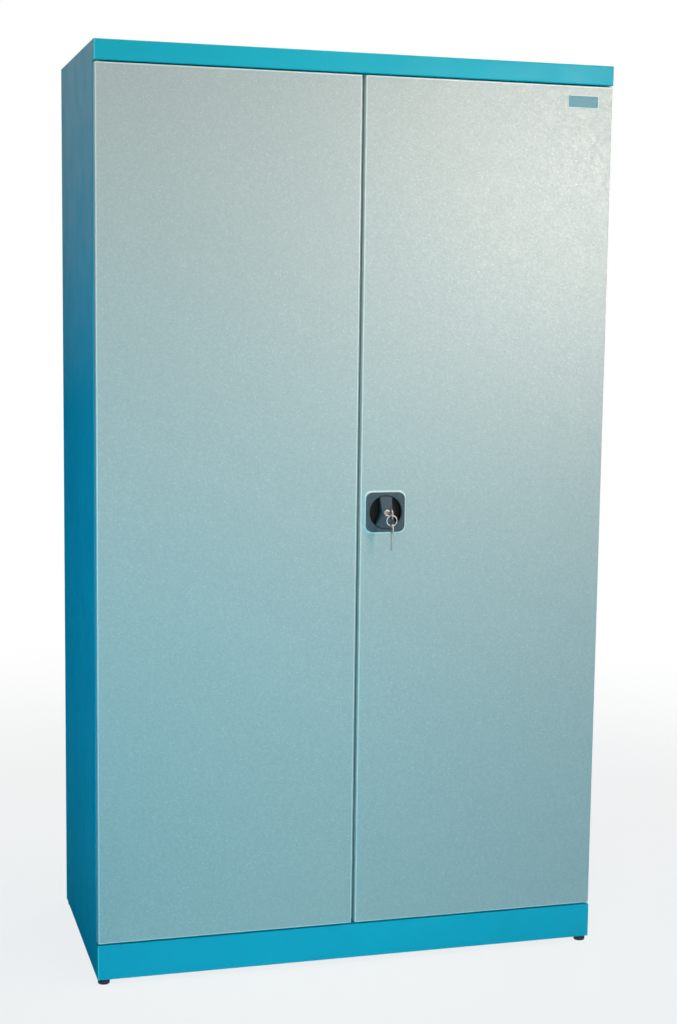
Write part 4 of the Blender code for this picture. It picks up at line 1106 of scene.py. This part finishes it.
@dataclass
class LockFurniture:
    """Escutcheon, turning handle and cylinder on the right door's face."""

    palette: Palette
    bezel_width: float = 3.2 * MM
    bezel_rise: float = 0.7 * MM
    bezel_lap: float = 0.6 * MM
    bezel_sink: float = 0.05 * MM
    side_inset: float = 0.2 * MM
    top_inset: float = 0.6 * MM
    side_share: float = 0.6  # of the rise
    corner: float = 13.3 * MM
    inner_corner: float = 11.9 * MM

    def build(self) -> None:
        """Rounds the mouldings and lays the bright bezel round them."""
        breaks = {
            "handle_escutcheon": EdgeBreak(0.7, 3, 28.0),
            "turn_handle": EdgeBreak(0.6, 3, 28.0),
            "lock_cylinder": EdgeBreak(0.25, 2, 28.0),
            "lock_plug": EdgeBreak(0.15, 2, 28.0),
        }
        for node, edge_break in breaks.items():
            edge_break.soften(node, self.palette)
        self.bezel()

    def bezel(self) -> None:
        """The thin bright flange that shows round the escutcheon."""
        low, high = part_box("handle_escutcheon")
        door_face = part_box("right_door_panel")[0].y
        centre = ((low.x + high.x) / 2, door_face, (low.z + high.z) / 2)
        outer = (high.x - low.x) / 2 + self.bezel_width
        width = self.bezel_width + self.bezel_lap
        steps = (
            (width, self.inner_corner, self.bezel_sink),
            (0.0, self.corner, self.bezel_sink),
            (self.side_inset, self.corner, -self.bezel_rise * self.side_share),
            (self.top_inset, self.corner, -self.bezel_rise),
            (width, self.inner_corner, -self.bezel_rise),
        )
        mesh = stepped_plate((outer, outer), steps, centre, open_middle=True)
        bezel = self.palette.bezel
        self.palette.raise_piece("escutcheon_bezel", mesh, Body.RIGHT_DOOR, Slot.CHROME, bezel)


@dataclass
class KeySet:
    """The key in the lock, the split ring on it and the spare key that hangs below."""

    palette: Palette
    stamped: EdgeBreak = EdgeBreak(0.22, 2, 28.0)
    turns: float = 1.92
    steps_per_turn: int = 48
    strip_width: float = 1.3 * MM
    strip_height: float = 0.72 * MM

    def build(self) -> None:
        """Rounds the keys and winds the split ring."""
        for node in ("cabinet_key", "spare_key"):
            self.stamped.soften(node, self.palette)
        self.split_ring()

    def split_ring(self) -> None:
        """Nearly two turns of flat spring wire in the CAD ring's place."""
        low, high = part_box("key_ring")
        rise = high.y - low.y - self.strip_height
        values = {
            "Turns": self.turns,
            "Coil Radius": (high.x - low.x) / 2 - self.strip_width / 2,
            "Rise": rise,
            "Wire Width": self.strip_width,
            "Wire Height": self.strip_height,
            "Steps": self.steps_per_turn,
            "Finish": self.palette.by_slot[Slot.CHROME],
        }
        mesh = coil_tree("split_ring_coil").run(values)
        lying = Matrix.Rotation(math.pi / 2, 4, "X") @ Matrix.Translation((0.0, 0.0, -rise / 2))
        mesh.transform(Matrix.Translation((low + high) / 2) @ lying)
        piece = self.palette.raise_piece("split_ring", mesh, Body.RING, Slot.CHROME)
        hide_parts("key_ring")


@dataclass
class RodLock:
    """What fixes the lock case and the rods' guides behind the right door."""

    palette: Palette
    screws: Fasteners = Fasteners(2.6 * MM, 1.6 * MM, HeadKind.CROSS_RECESS)
    screw_inset: float = 6.5 * MM
    rivets: Fasteners = Fasteners(2.2 * MM, 1.0 * MM)
    rivet_inset: float = 5.0 * MM
    sheet: float = 1.2 * MM

    def build(self) -> None:
        """Adds four screws at the case's corners and two rivets on each guide."""
        low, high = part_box("lock_case")
        inset = self.screw_inset
        seats = [
            ((x, high.y, z), BACKWARDS)
            for x in (low.x + inset, high.x - inset)
            for z in (low.z + inset, high.z - inset)
        ]
        self.screws.fasten("lock_case_screws", seats, self.palette, Body.RIGHT_DOOR, Slot.ZINC)
        seats = []
        for node in ("upper_rod_guide", "lower_rod_guide"):
            low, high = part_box(node)
            for x in (low.x + self.rivet_inset, high.x - self.rivet_inset):
                seats.append(((x, low.y + self.sheet, (low.z + high.z) / 2), BACKWARDS))
        self.rivets.fasten("rod_guide_rivets", seats, self.palette, Body.RIGHT_DOOR, Slot.ZINC)


@dataclass
class LevellingFeet:
    """Four moulded pads on threaded studs."""

    palette: Palette
    pad_radius: float = 11.5 * MM
    pad_height: float = 10.0 * MM
    # how far each point of the pad's side lies inside its radius, with its share of the height
    pad_side: tuple[Span, ...] = (
        *((1.6 * MM, 0.0), (0.7 * MM, 0.04), (0.35 * MM, 0.14)),
        *((0.35 * MM, 0.62), (0.9 * MM, 0.76), (2.6 * MM, 0.9)),
    )
    # the same for the collar round the stud, outside the thread
    pad_collar: tuple[Span, ...] = ((2.0 * MM, 0.97), (0.8 * MM, 1.0))
    flutes: int = 24
    flute_inset: float = 0.75 * MM
    flute_radius: float = 0.72 * MM
    flute_half_height: float = 2.9 * MM
    flute_middle: float = 4.2 * MM
    stud_core: float = 3.45 * MM
    stud_crest: float = 3.98 * MM
    stud_sink: float = 1.0 * MM
    stud_chamfer: float = 0.7 * MM
    thread_pitch: float = 1.25 * MM
    thread_start: float = 0.9 * MM
    bare_length: float = 2.6 * MM
    ridge_sink: float = 0.12 * MM
    ridge_share: float = 0.5  # of the pitch

    def build(self) -> None:
        """Builds the four feet."""
        for foot in FEET:
            self.pad(foot)
            self.stud(foot)

    def pad(self, foot: Body) -> None:
        """A pad with grip flutes.

        Args:
            foot: the body that it is part of.
        """
        node = f"levelling_{foot.value}"
        low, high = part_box(node)
        x, y = (low.x + high.x) / 2, (low.y + high.y) / 2
        r, h = self.pad_radius, self.pad_height
        side = [(r - inset, h * share) for inset, share in self.pad_side]
        collar = [(self.stud_crest + outset, h * share) for outset, share in self.pad_collar]
        pad = turned([(0.0, 0.0), *side, *collar, (0.0, h)], (x, y, low.z), 48)
        values = {
            "Count": self.flutes,
            "Ring Radius": r - self.flute_inset,
            "Bar Radius": self.flute_radius,
            "Bar Height": self.flute_half_height,
            "Finish": self.palette.by_slot[Slot.FOOT_RUBBER],
        }
        bars = flute_tree().run(values)
        bars.transform(Matrix.Translation((x, y, low.z + self.flute_middle)))
        name = foot.value.replace("foot", "foot_pad")
        piece = self.palette.raise_piece(name, join_meshes([pad, bars]), foot, Slot.FOOT_RUBBER)
        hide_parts(node)

    def stud(self, foot: Body) -> None:
        """The zinc-plated stud above a pad, with its thread ridge.

        Args:
            foot: the body that it is part of.
        """
        low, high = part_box(f"levelling_{foot.value}")
        x, y, z = (low.x + high.x) / 2, (low.y + high.y) / 2, low.z + self.pad_height
        length, core = high.z - z, self.stud_core
        chamfer = self.stud_chamfer
        profile = [(0.0, -self.stud_sink), (core, -self.stud_sink), (core, length - chamfer)]
        profile += [(core - chamfer, length), (0.0, length)]
        bolt = turned(profile, (x, y, z), 24)
        turns = (length - self.bare_length) / self.thread_pitch
        values = {
            "Turns": turns,
            "Coil Radius": (core + self.stud_crest) / 2 - self.ridge_sink / 2,
            "Rise": turns * self.thread_pitch,
            "Wire Width": self.stud_crest - core + self.ridge_sink,
            "Wire Height": self.thread_pitch * self.ridge_share,
            "Steps": 16,
            "Finish": self.palette.by_slot[Slot.ZINC],
        }
        ridge = coil_tree("stud_thread").run(values)
        ridge.transform(Matrix.Translation((x, y, z + self.thread_start)))
        name = foot.value.replace("foot", "foot_stud")
        self.palette.raise_piece(name, join_meshes([bolt, ridge]), foot, Slot.ZINC)


# Studio


@dataclass(frozen=True)
class Lamp:
    """One soft box, aimed at a point."""

    name: str
    place: Point
    target: Point
    size: float
    power: float
    tint: str
    beam_degrees: float = 180.0
    in_gloss: bool = True

    def hang(self) -> None:
        """Puts the lamp in the scene."""
        data = bpy.data.lights.new(self.name, "AREA")
        data.shape = "DISK"
        data.size = self.size
        data.energy = self.power
        data.color = linear(self.tint)[:3]
        data.spread = math.radians(self.beam_degrees)
        lamp = put_in_scene(self.name, data)
        aim = Vector(self.target) - Vector(self.place)
        lamp.rotation_euler = aim.to_track_quat("-Z", "Y").to_euler()
        lamp.location = self.place
        lamp.visible_glossy = self.in_gloss


# A warm key from the upper right, blue-green light from below and from the left that
# doesn't show in gloss, a soft top and a strong white back lamp for views from behind.
LAMPS = (
    Lamp("key", (1.85, -3.3, 1.75), (0.3, -0.2, 1.5), 0.8, 4.8, "#FFF0E2", 52),
    Lamp("low_front", (-0.2, -2.6, 0.3), (0.0, -0.2, 0.35), 1.4, 5.0, "#0CE2FF", 100, False),
    Lamp("low_left", (-1.1, -2.9, 0.35), (-0.1, -0.2, 0.4), 1.4, 28.0, "#10E4FF", 180, False),
    Lamp("high_left", (-1.35, -3.3, 1.95), (-0.15, -0.2, 1.45), 1.2, 3.2, "#FFC890", 60),
    Lamp("side", (-2.6, -0.7, 0.8), (-0.5, 0.0, 0.75), 0.9, 2.15, "#14C8FF", 60, False),
    Lamp("top", (0.2, -0.3, 4.2), (0.0, 0.0, 1.7), 1.6, 4.0, "#FFF9ED", 40),
    Lamp("back", (2.8, 3.4, 2.2), (0.2, 0.2, 0.9), 2.0, 78.0, "#F3FBFF", 180),
)


@dataclass
class Studio:
    """Pale floor, soft lamps, white backdrop and the photograph's camera."""

    floor_half: float = 14.0
    floor_colour: str = "#E9EBEC"
    glow_reach: Span = (0.7, 3.4)
    glow_share: float = 0.8  # near the cabinet, and 1 beyond the reach
    ambient: str = "#95E7FF"
    ambient_strength: float = 0.10
    card_colour: str = "#0B1A22"
    card_span: Span = (-3.4, -0.5005)
    card_reach: Span = (-1.2, 0.85)
    card_foot: float = 0.003
    card_height: float = 2.2
    card_fade_from: float = 1.05
    lens_mm: float = 63.63
    shift: Span = (-0.0393, 0.0119)
    clip: Span = (0.05, 60.0)
    camera_place: Point = (-0.9438, -3.5183, 1.3021)
    camera_right: Point = (0.958689, -0.284059, 0.015007)
    camera_down: Point = (-0.021136, -0.123748, -0.992088)
    camera_forward: Point = (0.283669, 0.950787, -0.12464)

    def build(self) -> None:
        """Sets up everything that isn't the cabinet."""
        self.floor()
        self.dark_card()
        self.world()
        for lamp in LAMPS:
            lamp.hang()
        self.camera()
        bpy.context.scene.view_settings.view_transform = "Standard"

    def seen_directly(self, tree: Tree) -> Socket:
        """1 for rays from the camera, from gloss and through glass.

        Args:
            tree: the floor's or world's tree.

        Returns:
            The mask.
        """
        path = add_node(tree, "ShaderNodeLightPath").node.outputs
        seen = path["Is Camera Ray"]
        for kind in ("Is Glossy Ray", "Is Transmission Ray"):
            inputs = {0: seen, 1: path[kind]}
            seen = add_node(tree, "ShaderNodeMath", inputs, operation="MAXIMUM")
        return seen

    def floor(self) -> None:
        """A wide pale floor that keeps the cabinet's shadow."""
        form = bmesh.new()
        bmesh.ops.create_grid(form, x_segments=8, y_segments=8, size=self.floor_half)
        mesh = mesh_of(form, "studio_floor")
        material = empty_material("pale_seamless_paper")
        tree = material.node_tree
        inputs = {"Color": linear(self.floor_colour), "Roughness": 0.5}
        paper = add_node(tree, "ShaderNodeBsdfDiffuse", inputs)
        glow = add_node(tree, "ShaderNodeEmission", {"Color": WHITE, "Strength": 1.0})
        place = add_node(tree, "ShaderNodeTexCoord", out="Object")
        away = add_node(tree, "ShaderNodeVectorMath", {0: place}, out="Value", operation="LENGTH")
        inputs = {"Value": away, "From Min": self.glow_reach[0], "From Max": self.glow_reach[1]}
        inputs |= {"To Min": self.glow_share, "To Max": 1.0}
        fade = add_node(tree, "ShaderNodeMapRange", inputs, interpolation_type="SMOOTHSTEP")
        inputs = {0: self.seen_directly(tree), 1: fade}
        share = add_node(tree, "ShaderNodeMath", inputs, operation="MULTIPLY")
        inputs = {0: share, 1: paper, 2: glow}
        mixed = add_node(tree, "ShaderNodeMixShader", inputs)
        add_node(tree, "ShaderNodeOutputMaterial", {"Surface": mixed})
        mesh.materials.append(material)
        put_in_scene("studio_floor", mesh)

    def dark_card(self) -> None:
        """A bent dark card by the left side that only gloss sees, so it isn't washed out.

        It thins out upwards, which leaves the soft sheen along the top of the side.
        """
        front, back = self.card_reach
        rows = ((front, self.card_foot), (back, self.card_foot), (back, self.card_height))
        mesh = bpy.data.meshes.new("dark_card")
        corners = [(x, y, z) for x in self.card_span for y, z in rows]
        mesh.from_pydata(corners, [], [(i, i + 3, i + 4, i + 1) for i in range(2)])
        material = empty_material("dark_graded_card")
        tree = material.node_tree
        paper = add_node(tree, "ShaderNodeBsdfDiffuse", {"Color": linear(self.card_colour)})
        clear = add_node(tree, "ShaderNodeBsdfTransparent")
        place = add_node(tree, "ShaderNodeTexCoord", out="Object")
        height = add_node(tree, "ShaderNodeSeparateXYZ", {"Vector": place}, out="Z")
        inputs = {"Value": height, "From Min": self.card_fade_from, "From Max": self.card_height}
        thin = add_node(tree, "ShaderNodeMapRange", inputs)
        inputs = {0: thin, 1: paper, 2: clear}
        mixed = add_node(tree, "ShaderNodeMixShader", inputs)
        add_node(tree, "ShaderNodeOutputMaterial", {"Surface": mixed})
        mesh.materials.append(material)
        card = put_in_scene("dark_card", mesh)
        for kind in ("camera", "diffuse", "shadow", "transmission"):
            setattr(card, "visible_" + kind, False)

    def world(self) -> None:
        """Even cool ambient light, with a white backdrop where it is seen."""
        world = bpy.data.worlds.new("studio_world")
        bpy.context.scene.world = world
        world.use_nodes = True
        tree = world.node_tree
        tree.nodes.clear()
        inputs = {"Color": linear(self.ambient), "Strength": self.ambient_strength}
        even = add_node(tree, "ShaderNodeBackground", inputs)
        white = add_node(tree, "ShaderNodeBackground", {"Color": WHITE, "Strength": 1.0})
        inputs = {0: self.seen_directly(tree), 1: even, 2: white}
        mixed = add_node(tree, "ShaderNodeMixShader", inputs)
        add_node(tree, "ShaderNodeOutputWorld", {"Surface": mixed})

    def camera(self) -> None:
        """The photograph's viewpoint, found from the cabinet's corners."""
        data = bpy.data.cameras.new("photograph_view")
        data.lens = self.lens_mm
        data.shift_x, data.shift_y = self.shift
        data.clip_start, data.clip_end = self.clip
        camera = put_in_scene("photograph_view", data)
        axes = Vector(self.camera_right), -Vector(self.camera_down), -Vector(self.camera_forward)
        camera.matrix_world = Matrix.Translation(self.camera_place) @ Matrix(axes).transposed().to_4x4()
        bpy.context.scene.camera = camera


def main() -> None:
    """Builds the finishes, the fittings and the studio in order."""
    logging.basicConfig(level=logging.INFO, format="%(message)s")
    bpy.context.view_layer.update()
    palette = Palette()
    LOG.info("%d CAD nodes dressed", palette.dress_frame())
    Carcass(palette).build()
    Doors(palette).build()
    LockFurniture(palette).build()
    KeySet(palette).build()
    RodLock(palette).build()
    LevellingFeet(palette).build()
    Studio().build()


if __name__ == "__main__":
    main()
